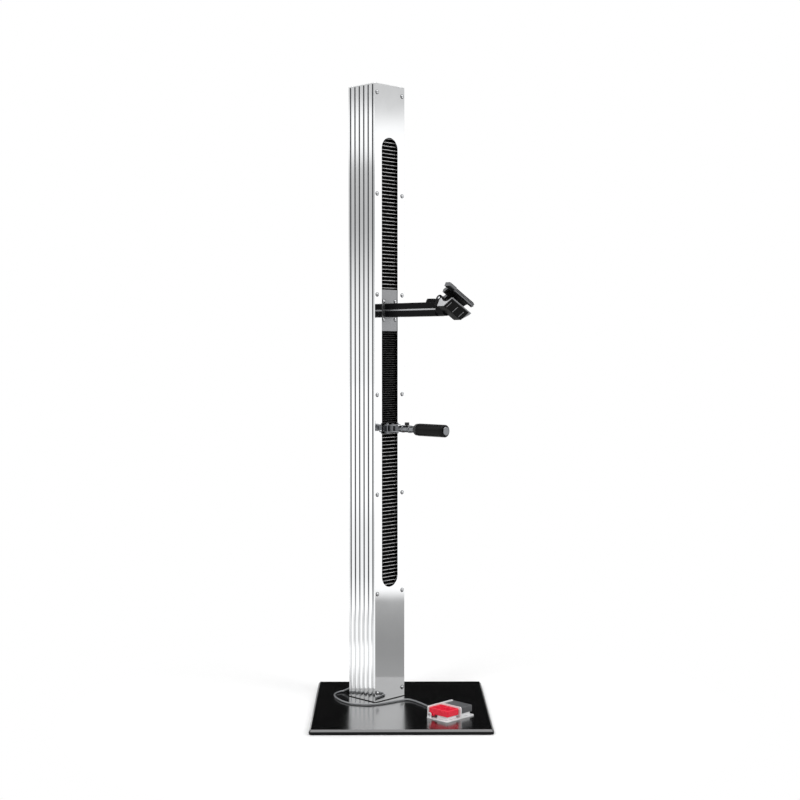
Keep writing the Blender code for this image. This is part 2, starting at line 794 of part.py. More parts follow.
def make_gearbox(column, high):
    low = high - GEARBOX_H
    pilot = high + MOUNT_T - 0.001
    bore = SPINDLE_R + GAP
    ribs = []
    for index in range(4):
        start = low + 0.012 + index * 0.012
        ribs += [(GEARBOX_R, start), (GEARBOX_R - 0.0025, start + 0.001),
                 (GEARBOX_R - 0.0025, start + 0.005), (GEARBOX_R, start + 0.006)]
    profile = [(0, low), (GEARBOX_R - 0.002, low), (GEARBOX_R, low + 0.002)] + ribs
    profile += [(GEARBOX_R, high), (PILOT_R, high), (PILOT_R, pilot), (bore, pilot),
                (bore, high - SPINDLE_DEPTH), (0, high - SPINDLE_DEPTH)]
    piece("gearbox", turned(profile, 12), cast_aluminium(), column, (0, SHAFT_Y, 0))
    top = low - GAP
    can = [(0, top - MOTOR_H), (0.009, top - MOTOR_H), (0.009, top - MOTOR_H + 0.004),
           (MOTOR_R - 0.004, top - MOTOR_H + 0.004), (MOTOR_R, top - MOTOR_H + 0.008),
           (MOTOR_R, top - 0.014), (MOTOR_R - 0.0015, top - 0.014), (MOTOR_R - 0.0015, top - 0.010),
           (MOTOR_R, top - 0.010), (MOTOR_R, top), (0, top)]
    piece("motor", turned(can, 12), satin_black(), column, (0, SHAFT_Y, 0))


def entry_middle():
    return PLATE_TOP + ENTRY_Z - 0.016


def make_power_entry(column):
    """The mains inlet with its rocker switch: one moulded module in the back plate."""
    middle = entry_middle()
    body = box((-ENTRY_W / 2, BACK_Y - ENTRY_D, middle - ENTRY_H / 2),
               (ENTRY_W / 2, BACK_Y + 0.001, middle + ENTRY_H / 2))
    made = piece("power_entry", body, satin_black(), column)
    rim = prism(rounded((-ENTRY_W / 2 - ENTRY_RIM, middle - ENTRY_H / 2 - ENTRY_RIM),
                        (ENTRY_W / 2 + ENTRY_RIM, middle + ENTRY_H / 2 + ENTRY_RIM), 0.003, 3),
                BACK_Y + GAP, BACK_Y + GAP + ENTRY_RIM_T, "y")
    join(made, rim)
    face = BACK_Y + GAP + ENTRY_RIM_T
    low = middle - INLET_DROP - INLET_H / 2
    high = low + INLET_H
    chamfer = 0.004
    half = INLET_W / 2
    mouth = [(-half, low), (half, low), (half, high - chamfer), (half - chamfer, high),
             (-half + chamfer, high), (-half, high - chamfer)]
    recess = prism(mouth, face - INLET_D, face + 0.001, "y")
    seat = middle + ROCKER_RISE
    pocket = box((-ROCKER_W / 2 - GAP, face - 0.009, seat - ROCKER_H / 2 - GAP),
                 (ROCKER_W / 2 + GAP, face + 0.001, seat + ROCKER_H / 2 + GAP))
    cut(made, merged([recess, pocket]))
    make_rocker(column, face, seat)


def make_rocker(column, face, seat):
    """The rocker's outline seen from its side: two flats that meet in a shallow valley."""
    half = ROCKER_H / 2 - 0.0006
    outline = [(-0.0062, -half * 0.5), (-0.0062, half * 0.5), (-0.0012, half), (0.0012, half),
               (0.0002, 0.0), (-0.0012, -half)]
    shape = prism(outline, -ROCKER_W / 2 + 0.0004, ROCKER_W / 2 - 0.0004, "x")
    piece("power_rocker", shape, satin_black(), column, (0, face, seat))


def make_control_box(column):
    high = BACK_IN - GAP
    low = high - CONTROL_D
    shell = box((-CONTROL_W / 2, low, CONTROL_Z), (CONTROL_W / 2, high, CONTROL_Z + CONTROL_H))
    edges = [edge for edge in shell.edges if all(v.co.y < low + GAP for v in edge.verts)]
    bmesh.ops.bevel(shell, geom=edges, offset=0.002, affect="EDGES", segments=2, profile=0.5,
                    material=-1)
    made = piece("control_box", shell, grey_plastic(), column)
    slots = [box((-0.028, low - 0.001, CONTROL_Z + 0.030 + index * 0.010),
                 (0.028, low + 0.0015, CONTROL_Z + 0.034 + index * 0.010)) for index in range(5)]
    return cut(made, merged(slots))


def make_limit_switches(column):
    """Two limit switches on the right profile, just beyond the bush blocks' travel."""
    reach_high = PLATE_TOP + CARRIAGE_HIGH + LIFT_UP + SWITCH_CLEAR
    reach_low = PLATE_TOP + CARRIAGE_LOW - LIFT_DOWN - SWITCH_CLEAR
    for name, tip, way in (("limit_switch_top", reach_high, 1), ("limit_switch_low", reach_low, -1)):
        outer = INNER_HALF - GAP
        front = CARRIAGE_FRONT + CARRIAGE_T + GAP + BUSH_BLOCK_D + 0.002
        body = box((outer - SWITCH_W, front, min(tip + way * 0.002, tip + way * (0.002 + SWITCH_H))),
                   (outer, front + SWITCH_D, max(tip + way * 0.002, tip + way * (0.002 + SWITCH_H))))
        made = piece(name, body, satin_black(), column)
        arm = box((outer - SWITCH_W + 0.003, front - 0.007, min(tip, tip + way * 0.004)),
                  (outer - SWITCH_W + 0.009, front + 0.004, max(tip, tip + way * 0.004)))
        join(made, arm)


def make_bellows(name, low, high, pitch, parent, rise=0.0, fixed=None):
    """A pleated sheet behind the slot. Its end frames are flat; a fixed one meets the front plate."""
    front = FRONT_Y + BELLOWS_RECESS
    back = front + FOLD_DEPTH
    start = low + BELLOWS_FRAME
    end = high - BELLOWS_FRAME
    folds = round((end - start) / pitch)
    half = (end - start) / (2 * folds)
    zigzag = [(front if index % 2 else back, start + index * half) for index in range(2 * folds + 1)]
    low_front = FRONT_IN + GAP if fixed == "low" else front
    high_front = FRONT_IN + GAP if fixed == "high" else front
    outline = [(low_front, low), (low_front, start)] + zigzag
    outline += [(high_front, end), (high_front, high)]
    outline += [(back + FOLD_T, high)]
    outline += [(y + FOLD_T, z) for y, z in reversed(zigzag)] + [(back + FOLD_T, low)]
    sheet = prism(outline, -BELLOWS_W / 2, BELLOWS_W / 2, "x")
    return piece(name, sheet, black_rubber(), parent, (0, 0, rise))


def make_all_bellows(column, carriage):
    make_bellows("bellows_upper", CARRIAGE_HIGH + GAP, BELLOWS_TOP, FOLD_PITCH, column, PLATE_TOP,
                 "high")
    make_bellows("bellows_lower", BELLOWS_BOTTOM, REST_Z - BRACKET_HALF_H - GAP, FOLD_PITCH, column,
                 PLATE_TOP, "low")
    make_bellows("bellows_middle", REST_Z + BRACKET_HALF_H + GAP, ARM_Z - FLANGE_HALF_H - GAP,
                 MIDDLE_PITCH, carriage)


def make_carriage(carriage):
    plate = box((-CARRIAGE_W / 2, CARRIAGE_FRONT, CARRIAGE_LOW),
                (CARRIAGE_W / 2, CARRIAGE_FRONT + CARRIAGE_T, CARRIAGE_HIGH))
    made = piece("carriage_plate", plate, brushed_aluminium(), carriage)
    first = CARRIAGE_LOW + BUSH_H + 0.030
    step = (CARRIAGE_HIGH - BUSH_H - 0.030 - WINDOW_H - first) / 2
    windows = [prism(rounded((-WINDOW_W / 2, first + index * step),
                             (WINDOW_W / 2, first + index * step + WINDOW_H), 0.008, 3),
                     CARRIAGE_FRONT - 0.001, CARRIAGE_FRONT + CARRIAGE_T + 0.001, "y")
               for index in range(3)]
    cut(made, merged(windows))
    make_bush_block("upper_bush_block", CARRIAGE_HIGH - BUSH_H, -1, SCREW_R + 0.0015, carriage)
    make_bush_block("lower_bush_block", CARRIAGE_LOW, 1, NUT_R + GAP, carriage)
    bore = SCREW_R + RUNNING
    flange_top = CARRIAGE_LOW - GAP
    flange_low = flange_top - NUT_FLANGE_H
    profile = [(bore, flange_low), (NUT_FLANGE_R, flange_low), (NUT_FLANGE_R, flange_top),
               (NUT_R, flange_top), (NUT_R, flange_top + NUT_H), (bore, flange_top + NUT_H)]
    piece("lift_nut", turned(profile, 16), bronze(), carriage, (0, SHAFT_Y, 0))


def make_bush_block(name, low, way, middle_bore, carriage):
    """A block that runs on both guide shafts; its bush rings stand on the face that way points to."""
    half = INNER_HALF - BUSH_SIDE
    front = CARRIAGE_FRONT + CARRIAGE_T + GAP
    high = low + BUSH_H
    outline = rounded((-half, front), (half, front + BUSH_BLOCK_D), 0.004, 2)
    made = piece(name, prism(outline, low, high), cast_aluminium(), carriage)
    face = high if way > 0 else low
    ends = sorted((face - way * 0.001, face + way * BUSH_RING_H))
    rings = [rod((side * SHAFT_X, SHAFT_Y), BUSH_RING_R, ends[0], ends[1], "z", 14) for side in (-1, 1)]
    join(made, merged(rings))
    bores = [rod((side * SHAFT_X, SHAFT_Y), SHAFT_R + RUNNING, low - 0.004, high + 0.004, "z", 14)
             for side in (-1, 1)]
    bores.append(rod((0, SHAFT_Y), middle_bore, low - 0.001, high + 0.001, "z", 16))
    return cut(made, merged(bores))


def out(reach):
    """The y of a point that stands this far out from the front plate."""
    return FRONT_Y - reach


def make_arm_flange(carriage):
    """The plate in the slot that carries the arm, with its neck back to the carriage."""
    face = FRONT_Y + FLANGE_RECESS
    low = ARM_Z - FLANGE_HALF_H
    high = ARM_Z + FLANGE_HALF_H
    plate = prism(rounded((-FLANGE_W / 2, low), (FLANGE_W / 2, high), 0.002, 2),
                  face, face + FLANGE_T, "y")
    made = piece("arm_flange", plate, cast_aluminium(), carriage)
    join(made, box((-NECK_HALF_W, face + FLANGE_T - 0.001, low),
                   (NECK_HALF_W, CARRIAGE_FRONT - GAP, high)))
    bolts = []
    for x in (-FLANGE_BOLT_X, FLANGE_BOLT_X):
        for z in (-FLANGE_BOLT_Z, FLANGE_BOLT_Z):
            bolts.append(turned_about(dome(0, [(0, -0.001), (DOME_R, -0.001)]), "-y",
                                      (x, face, ARM_Z + z), 8))
    return join(made, merged(bolts))


def make_arm(carriage):
    """The arm's lower channel and its cover, which meet at a narrow seam."""
    half = ARM_HALF_W
    inside = half - ARM_WALL
    seam = ARM_SEAM / 2
    start = FRONT_Y + FLANGE_RECESS - GAP
    end = out(ARM_OUT)
    floor = -ARM_HALF_H + ARM_WALL
    outline = [(half, -seam), (half, -ARM_HALF_H), (-half, -ARM_HALF_H), (-half, -seam),
               (-inside, -seam), (-inside, floor), (inside, floor), (inside, -seam)]
    channel = prism(outline, end, start, "y")
    made = piece("arm_channel", channel, satin_black(), carriage, (0, 0, ARM_Z))
    join(made, box((-inside - 0.001, end, floor - 0.001), (inside + 0.001, end + 0.004, -0.009)))
    lip = inside - GAP
    rib = lip - 0.0015
    edge = 0.002
    side = [(half, seam), (half, ARM_HALF_H - edge), (half - edge, ARM_HALF_H)]
    under = [(rib, ARM_HALF_H - ARM_WALL), (rib, -0.002), (lip, -0.002), (lip, seam)]
    outline = side + [(-x, z) for x, z in reversed(side)]
    outline += [(-x, z) for x, z in reversed(under)] + under
    cover = piece("arm_cover", prism(outline, end, start, "y"), satin_black(), carriage, (0, 0, ARM_Z))
    pivot = out(LEVER_OUT)
    plate = [box((-rib - 0.001, end, -0.008), (rib + 0.001, end + 0.004, ARM_HALF_H - 0.002))]
    for way in (-1, 1):
        sides = sorted((way * (LEVER_HALF_W + 0.0006), way * (rib + 0.001)))
        plate.append(box((sides[0], pivot - 0.006, LEVER_RISE - 0.006),
                         (sides[1], pivot + 0.006, ARM_HALF_H - 0.002)))
    join(cover, merged(plate))
    opening = box((-LEVER_HALF_W - GAP, pivot - LEVER_BACK, ARM_HALF_H - ARM_WALL - 0.001),
                  (LEVER_HALF_W + GAP, pivot + LEVER_ROOM, ARM_HALF_H + 0.001))
    cut(cover, opening)
    cut(cover, rod((pivot, LEVER_RISE), LEVER_PIN_R + RUNNING, -rib, rib, "x", 16))
    return cut(cover, rod((0, 0), ROD_R + RUNNING, end - 0.001, end + 0.005, "y", 16))


def make_lever(carriage):
    """The lever that works the clamp: handle on top of the arm, tail inside it."""
    handle_low = ARM_HALF_H - LEVER_RISE + GAP
    handle_high = ARM_HALF_H - LEVER_RISE + LEVER_H
    outline = [(LEVER_BACK, handle_low), (LEVER_BACK, handle_low + 0.003), (0.002, handle_high),
               (-LEVER_FRONT + 0.006, handle_high), (-LEVER_FRONT, handle_high - 0.005),
               (-LEVER_FRONT, handle_low)]
    shape = prism(outline, -LEVER_HALF_W, LEVER_HALF_W, "x")
    made = piece("clamp_lever", shape, satin_black(), carriage, (0, out(LEVER_OUT), ARM_Z + LEVER_RISE))
    join(made, rod((0, 0), LEVER_HUB_R, -LEVER_HALF_W + 0.001, LEVER_HALF_W - 0.001, "x", 20))
    tail = box((-LEVER_TAIL_W, -LEVER_TAIL_W, -LEVER_RISE - 0.002), (LEVER_TAIL_W, LEVER_TAIL_W, 0))
    join(made, tail)
    join(made, rod((0, 0), LEVER_PIN_R, -0.0148, 0.0148, "x", 16))
    heel = out(CLAMP_OUT) + HINGE_BACK + HEEL_HALF + GAP
    head = out(ROD_START)
    profile = [(0, -head), (0.0065, -head), (0.0065, -head + 0.004), (ROD_R, -head + 0.004),
               (ROD_R, -heel - 0.001), (ROD_R - 0.001, -heel), (0, -heel)]
    piece("clamp_rod", turned_about(profile, "-y", (0, 0, 0), 16), bright_steel(), carriage,
          (0, 0, ARM_Z))


def make_lower_bracket(carriage):
    """The bracket of the lower rest: a neck through the slot and two flanges with side bolts."""
    low = REST_Z - BRACKET_HALF_H
    high = REST_Z + BRACKET_HALF_H
    neck = box((-BRACKET_HALF_W, out(0), low), (BRACKET_HALF_W, CARRIAGE_FRONT - GAP, high))
    made = piece("lower_bracket", neck, bright_steel(), carriage)
    plan = rounded((-BRACKET_HALF_W, out(BRACKET_OUT)), (BRACKET_HALF_W, out(-0.004)), 0.004, 3)
    flanges = [prism(plan, low, low + BRACKET_FLANGE), prism(plan, high - BRACKET_FLANGE, high)]
    join(made, merged(flanges))
    tip = BRACKET_HALF_H + 0.0055
    head = BRACKET_HALF_H + 0.0005
    bolts = []
    for x in (-SIDE_BOLT_X, SIDE_BOLT_X):
        profile = [(0, -tip), (SIDE_BOLT_R, -tip), (SIDE_BOLT_R, -tip + 0.001),
                   (SIDE_BOLT_HEAD_R, -tip + 0.001), (SIDE_BOLT_HEAD_R, -BRACKET_HALF_H + 0.0005),
                   (SIDE_BOLT_R, -BRACKET_HALF_H + 0.0005), (SIDE_BOLT_R, head - 0.001),
                   (SIDE_BOLT_HEAD_R, head - 0.001), (SIDE_BOLT_HEAD_R, head + SIDE_BOLT_HEAD_H),
                   (0.0022, head + SIDE_BOLT_HEAD_H), (0.0022, head + 0.002), (0, head + 0.002)]
        bolts.append(turned_about(profile, "z", (x, out(PIVOT_OUT), REST_Z), 10))
    join(made, merged(bolts))
    return cut(made, rod((0, out(PIVOT_OUT)), PIVOT_R + RUNNING, low - 0.001, high + 0.001, "z", 20))


def make_lower_rest(carriage):
    """The swinging tube with its pivot pin, the sliding rod, the roller and the thumb screw."""
    rest = frame_empty("rest_axis", (0, out(PIVOT_OUT), REST_Z), (0, 0, 0), carriage)
    start = TUBE_START - PIVOT_OUT
    end = TUBE_END - PIVOT_OUT
    bore = REST_ROD_IN - PIVOT_OUT - 0.001
    profile = [(0, start), (REST_TUBE_R - 0.001, start), (REST_TUBE_R, start + 0.001)]
    for middle in COLLARS:
        low = middle - PIVOT_OUT - COLLAR_HALF
        high = low + 2 * COLLAR_HALF
        wide = REST_TUBE_R + COLLAR_RISE
        profile += [(REST_TUBE_R, low), (wide, low), (wide, high), (REST_TUBE_R, high)]
    profile += [(REST_TUBE_R, end - 0.001), (REST_TUBE_R - 0.001, end), (REST_BORE_R, end),
                (REST_BORE_R, bore), (0, bore)]
    made = piece("support_tube", turned_about(profile, "-y", (0, 0, 0), 16), brushed_aluminium(), rest)
    tall = BRACKET_HALF_H - BRACKET_FLANGE - GAP
    seat = BRACKET_HALF_H + GAP
    knuckle = [(0, -seat), (PIVOT_R, -seat), (PIVOT_R, -tall), (REST_KNUCKLE_R, -tall),
               (REST_KNUCKLE_R, tall), (PIVOT_R, tall), (PIVOT_R, seat), (PIVOT_HEAD_R, seat),
               (PIVOT_HEAD_R, seat + PIVOT_HEAD_H), (0, seat + PIVOT_HEAD_H)]
    join(made, turned(knuckle, 16))
    join(made, box((-REST_NECK_HALF, -start - 0.001, -tall + 0.001),
                   (REST_NECK_HALF, -0.002, tall - 0.001)))
    screws = [rod((PIVOT_OUT - middle, 0), 0.0020, -REST_TUBE_R - 0.0028, -REST_BORE_R - 0.001, "x", 10)
              for middle in COLLARS]
    join(made, merged(screws))
    knob_y = PIVOT_OUT - KNOB_OUT
    cut(made, rod((0, knob_y), KNOB_STEM_R + GAP, 0.001, 0.016, "z", 16))
    make_rest_rod(rest)
    make_knob(rest, knob_y)


def make_rest_rod(rest):
    first = REST_ROD_IN - PIVOT_OUT
    cone = CONE_START - PIVOT_OUT
    shoulder = CONE_END - PIVOT_OUT
    tip = ROLLER_END + GAP - PIVOT_OUT
    profile = [(0, first), (REST_ROD_R, first), (REST_ROD_R, cone), (CONE_R * 0.72, cone),
               (CONE_R, cone + 0.006), (CONE_R, shoulder), (REST_ROD_R, shoulder), (REST_ROD_R, tip),
               (REST_CAP_R, tip), (REST_CAP_R, tip + REST_CAP_T - 0.001),
               (REST_CAP_R - 0.001, tip + REST_CAP_T), (0, tip + REST_CAP_T)]
    piece("support_rod", turned_about(profile, "-y", (0, 0, 0), 20), brushed_aluminium(), rest)
    low = shoulder + GAP
    high = ROLLER_END - PIVOT_OUT
    edge = 0.0015
    profile = [(ROLLER_BORE_R, low), (ROLLER_R - edge, low), (ROLLER_R, low + edge),
               (ROLLER_R, high - edge), (ROLLER_R - edge, high), (ROLLER_BORE_R, high)]
    piece("support_roller", turned_about(profile, "-y", (0, 0, 0), 28), black_rubber(), rest)


def make_knob(rest, knob_y):
    """A thumb screw with a fluted head."""
    low = REST_TUBE_R + 0.001
    stem = REST_BORE_R + GAP
    outline = []
    for index in range(36):
        angle = 2 * math.pi * index / 36
        radius = KNOB_R - 0.0005 * (1 - math.cos(9 * angle))
        outline.append((radius * math.cos(angle), radius * math.sin(angle)))
    made = piece("support_knob", prism(outline, low, low + KNOB_H), satin_black(), rest,
                 (0, knob_y, 0))
    return join(made, rod((0, 0), KNOB_STEM_R, stem, low + 0.001, "z", 12))


def across(points):
    """Turns (out, up) from the tube's centre into the clamp frame's (y, z)."""
    return [(-p, q + TUBE_RISE) for p, q in points]


def make_clamp_head(clamp):
    """The turning head: a round barrel in line with the arm, and a yoke for the hinge on top."""
    front = -JAW_BACK - GAP
    hinge = (-HINGE_BACK, -HINGE_DROP)
    outline = arc(hinge, EAR_R, 200, 50, 9)
    outline += [(front, -0.009), (front, -YOKE_LOW), (-YOKE_BACK, -YOKE_LOW)]
    yoke = prism(across(outline), -HEAD_HALF, HEAD_HALF, "x")
    made = piece("clamp_head", yoke, satin_black(), clamp)
    barrel = [(0, -JAW_BACK_OUT), (BARREL_R - 0.001, -JAW_BACK_OUT), (BARREL_R, -JAW_BACK_OUT + 0.001),
              (BARREL_R, front - 0.0015), (BARREL_R - 0.001, front - 0.0005), (0, front - 0.0005)]
    join(made, turned_about(barrel, "-y", (0, 0, 0), 28))
    reach = EAR_R + 0.0012
    slot = [(-0.060, 0.030), (-0.060, hinge[1])] + arc(hinge, reach, 180, 300, 8)
    slot += [(-0.026, -0.014), (-0.026, 0.030)]
    cut(made, prism(across(slot), -KNUCKLE_HALF - GAP, KNUCKLE_HALF + GAP, "x"))
    pocket = [(-0.0515, -0.033), (-0.0515, 0.0), (-0.026, 0.0), (-0.026, -0.033)]
    cut(made, prism(across(pocket), -HEEL_W - 0.0015, HEEL_W + 0.0015, "x"))
    cut(made, rod((-hinge[0], hinge[1] + TUBE_RISE), HINGE_PIN_R + RUNNING, -0.060, 0.060, "x", 12))
    return cut(made, rod((0, 0), ROD_R + RUNNING, 0.045, 0.060, "y", 12))


def trough(radius, start, end, steps=14):
    return arc((0, 0), radius, start, end, steps)


def make_lower_jaw(clamp):
    """The fixed jaw below the tube: trough, sloping flank with a rubber cover, and lining."""
    dip = math.degrees(math.asin(LIP_DROP / JAW_IN))
    inner = trough(JAW_IN, -dip, -180 + dip)
    outline = [(RIM_OUT, -LIP_DROP)] + inner
    outline += [(-JAW_BACK, -LIP_DROP), (-JAW_BACK, -JAW_FOOT), (0.0, -JAW_FOOT)]
    tip = JAW_HALF + JAW_EXTRA
    made = piece("lower_jaw", prism(across(outline), -JAW_HALF, tip, "x"), brushed_aluminium(), clamp)
    below = TUBE_RISE - JAW_FOOT - 0.001
    wedge = [(tip + 0.001, TUBE_RISE - LIP_DROP - 0.004), (tip + 0.001, below), (JAW_HALF + GAP, below)]
    cut(made, prism(wedge, -RIM_OUT - 0.010, JAW_BACK + 0.010, "y"))
    run = Vector((RIM_OUT, JAW_FOOT - LIP_DROP))
    along = run.normalized()
    away = Vector((along.y, -along.x))
    foot = Vector((0.0, -JAW_FOOT)) + away * GAP
    top = foot + run - along * COVER_DROP
    flank = [foot, top, top + away * COVER_T * 0.6, top - along * 0.001 + away * COVER_T,
             foot + away * COVER_T + along * 0.0005]
    sheet = prism(across([(spot.x, spot.y) for spot in flank]), -JAW_HALF, JAW_HALF, "x")
    cover = piece("lower_jaw_cover", sheet, black_rubber(), clamp)
    ends = [foot + along * COVER_SLOT_LOW, foot + along * COVER_SLOT_HIGH]
    slot = [ends[0] - away * 0.001, ends[1] - away * 0.001, ends[1] + away * 0.004,
            ends[0] + away * 0.004]
    slots = [prism(across([(spot.x, spot.y) for spot in slot]), x - COVER_SLOT_HALF,
                   x + COVER_SLOT_HALF, "x") for x in COVER_SLOT_X]
    cut(cover, merged(slots))
    lining = trough(PAD_IN, -25, -155) + list(reversed(trough(PAD_IN + PAD_T, -25, -155)))
    piece("lower_jaw_pad", prism(across(lining), -JAW_HALF, JAW_HALF + JAW_EXTRA * 0.6, "x"),
          black_rubber(), clamp)


def make_upper_jaw(clamp):
    """The hinged jaw above the tube, its lug, hinge arm and the heel that the rod pushes."""
    hinge_z = TUBE_RISE - HINGE_DROP
    jaw = frame_empty("jaw_axis", (0, HINGE_BACK, hinge_z), (0, 0, 0), clamp)
    shift = (0, -HINGE_BACK, -hinge_z)
    dip = math.degrees(math.asin(LIP_DROP / JAW_IN))
    outline = [(RIM_OUT, LIP_DROP), *UPPER_GROOVE, (UPPER_FRONT, TUBE_R), (TUBE_R, UPPER_TOP),
               (-TUBE_R - 0.001, UPPER_TOP), (-UPPER_FRONT, TUBE_R + 0.002), (-UPPER_FRONT, LIP_DROP)]
    outline += trough(JAW_IN, 180 - dip, dip)
    body = prism(across(outline), -JAW_HALF, JAW_HALF + UPPER_EXTRA, "x")
    made = piece("upper_jaw", body, cast_aluminium(), jaw, shift)
    lug = [(0.004, UPPER_TOP - TAB_T), (UPPER_FRONT - 0.002, UPPER_TOP - TAB_T),
           (UPPER_FRONT, UPPER_TOP - TAB_T + 0.002), (UPPER_FRONT, UPPER_TOP - 0.004),
           (UPPER_FRONT - 0.004, UPPER_TOP), (0.004, UPPER_TOP)]
    join(made, prism(across([(p, q - 0.0005) for p, q in lug]), -JAW_HALF + 0.002 - TAB_L,
                     -JAW_HALF + 0.002, "x"))
    hinge = (-HINGE_BACK, -HINGE_DROP)
    join(made, prism(across(HINGE_ARM), -KNUCKLE_HALF, KNUCKLE_HALF, "x"))
    knuckle = arc(hinge, EAR_R - 0.0005, 0, 345, 23)
    join(made, prism(across(knuckle), -KNUCKLE_HALF + 0.0001, KNUCKLE_HALF - 0.0001, "x"))
    heel = [(hinge[0] - HEEL_HALF, hinge[1]), (hinge[0] + HEEL_HALF, hinge[1]),
            (hinge[0] + HEEL_HALF, -TUBE_RISE - HEEL_END), (hinge[0] - HEEL_HALF, -TUBE_RISE - HEEL_END)]
    join(made, prism(across(heel), -HEEL_W, HEEL_W, "x"))
    cut(made, rod((HINGE_BACK, hinge_z), HINGE_PIN_R + GAP, -KNUCKLE_HALF - 0.011, KNUCKLE_HALF + 0.011,
                  "x", 12))
    lining = trough(PAD_IN, 155, 25) + list(reversed(trough(PAD_IN + PAD_T, 155, 25)))
    piece("upper_jaw_pad", prism(across(lining), -JAW_HALF + 0.0025, JAW_HALF + UPPER_EXTRA, "x"),
          black_rubber(), jaw, shift)
    pin = drum(HINGE_PIN_R, -HEAD_HALF - 0.0015, HEAD_HALF + 0.0015, 0.0008)
    piece("jaw_pin", turned_about(pin, "x", (0, 0, 0), 12), bright_steel(), jaw)


def make_foot_guard(switch):
    """The foot switch's base: floor, back wall, divider between the pedals and two pin ears."""
    low = GAP
    top = GUARD_H
    floor = prism(rounded((GUARD_LEFT, GUARD_FRONT), (GUARD_RIGHT, GUARD_BACK), GUARD_ROUND, 3),
                  low, low + GUARD_T)
    made = piece("foot_guard", floor, light_paint(), switch)
    wall = arc((GUARD_RIGHT - 2 * GUARD_ROUND, top - GUARD_ROUND), GUARD_ROUND, 0, 90, 4)
    wall += arc((GUARD_LEFT + 2 * GUARD_ROUND, top - GUARD_ROUND), GUARD_ROUND, 90, 180, 4)
    wall += [(GUARD_LEFT + GUARD_ROUND, low + 0.001), (GUARD_RIGHT - GUARD_ROUND, low + 0.001)]
    join(made, prism(wall, GUARD_BACK - GUARD_T, GUARD_BACK - 0.0001, "y"))
    front = GUARD_FRONT + 0.0005
    fin = [(GUARD_BACK - 0.001, low + 0.001), (GUARD_BACK - 0.001, top - 0.0002)]
    fin += arc((front + GUARD_ROUND, top - 0.0002 - GUARD_ROUND), GUARD_ROUND, 90, 180, 4)
    fin += [(front, low + 0.001)]
    join(made, prism(fin, DIVIDER_X - GUARD_T / 2, DIVIDER_X + GUARD_T / 2, "x"))
    ears = []
    for x in (GUARD_LEFT + 0.004, GUARD_RIGHT - 0.0018):
        ear = [(PIN_Y + 0.0095, low + 0.001)] + [(PIN_Y + 0.0095, PIN_Z)]
        ear += arc((PIN_Y, PIN_Z), 0.006, 40, 180, 6) + [(PIN_Y - 0.006, low + 0.001)]
        ears.append(prism(ear, x - PIN_EAR_T / 2, x + PIN_EAR_T / 2, "x"))
    join(made, merged(ears))
    cut(made, rod((PIN_Y, PIN_Z), PIN_R + RUNNING, GUARD_LEFT - 0.01, GUARD_RIGHT + 0.01, "x", 16))
    return cut(made, rod((GUARD_GLAND_X, GUARD_GLAND_Z), GLAND_NOSE_R + GAP, GUARD_BACK - 0.004,
                         GUARD_BACK + 0.001, "y", 16))


def make_pedal(name, x, material, switch):
    """A hollow pedal that turns on the pin; its shape is set out from the pin's axis."""
    half = PEDAL_W / 2
    low = PEDAL_SKIRT - PIN_Z
    high = PEDAL_TOP - PIN_Z
    front = PEDAL_FRONT - PIN_Y
    back = PEDAL_BACK - PIN_Y
    shell = box((-half, front, low), (half, back, high))
    edges = [edge for edge in shell.edges if not all(v.co.z < low + GAP for v in edge.verts)]
    bmesh.ops.bevel(shell, geom=edges, offset=PEDAL_EDGE, affect="EDGES", segments=3, profile=0.5,
                    material=-1)
    made = piece(name, shell, material, switch, (x, PIN_Y, PIN_Z))
    cut(made, box((-half + PEDAL_WALL, front + PEDAL_WALL, low - 0.001),
                  (half - PEDAL_WALL, back - PEDAL_WALL, high - PEDAL_WALL)))
    cut(made, box((-half - 0.001, front - 0.001, low - 0.001), (half + 0.001, -PEDAL_HEEL,
                                                               PEDAL_LIFT - PIN_Z)))
    return cut(made, rod((0, 0), PIN_R + RUNNING, -half - 0.001, half + 0.001, "x", 16))


def make_switch_block(name, x, switch):
    """The sealed switch under a pedal, with its plunger."""
    low = GUARD_T + 2 * GAP
    plan = rounded((x - BLOCK_W / 2, BLOCK_Y - BLOCK_D / 2), (x + BLOCK_W / 2, BLOCK_Y + BLOCK_D / 2),
                   0.002, 2)
    made = piece(name, prism(plan, low, low + BLOCK_H), light_plastic(), switch)
    profile = [(0, low + 0.010), (0.0055, low + 0.010), (0.0055, low + BLOCK_H + 0.003),
               (PLUNGER_R, low + BLOCK_H + 0.004), (PLUNGER_R, PLUNGER_TOP - 0.001),
               (PLUNGER_R - 0.001, PLUNGER_TOP), (0, PLUNGER_TOP)]
    return join(made, turned_about(profile, "z", (x, PLUNGER_Y, 0), 16))


def make_gland(name, place, wall, lock_nut, parent):
    """A cable gland in a wall: hexagon and dome nut outside, with or without a lock nut inside."""
    nut = -wall - GAP
    inside = [(0, -wall), (GLAND_NOSE_R, -wall)]
    if lock_nut:
        inside = [(0, nut - 0.003), (GLAND_R - 0.001, nut - 0.003), (GLAND_R - 0.001, nut),
                  (GLAND_NOSE_R, nut)]
    profile = inside + [(GLAND_NOSE_R, GAP), (GLAND_R * 0.90, GAP),
                        (GLAND_R * 0.90, GLAND_HEX_H + 0.001), (GLAND_R * 0.82, GLAND_HEX_H + 0.001),
                        (GLAND_R * 0.82, GLAND_L - 0.005), (GLAND_R * 0.60, GLAND_L - 0.001),
                        (GLAND_R * 0.55, GLAND_L), (0, GLAND_L)]
    made = piece(name, turned_about(profile, "y", (0, 0, 0), 12), satin_black(), parent, place)
    return join(made, prism(circle((0, 0), GLAND_R, 6), 2 * GAP, GLAND_HEX_H, "y"))


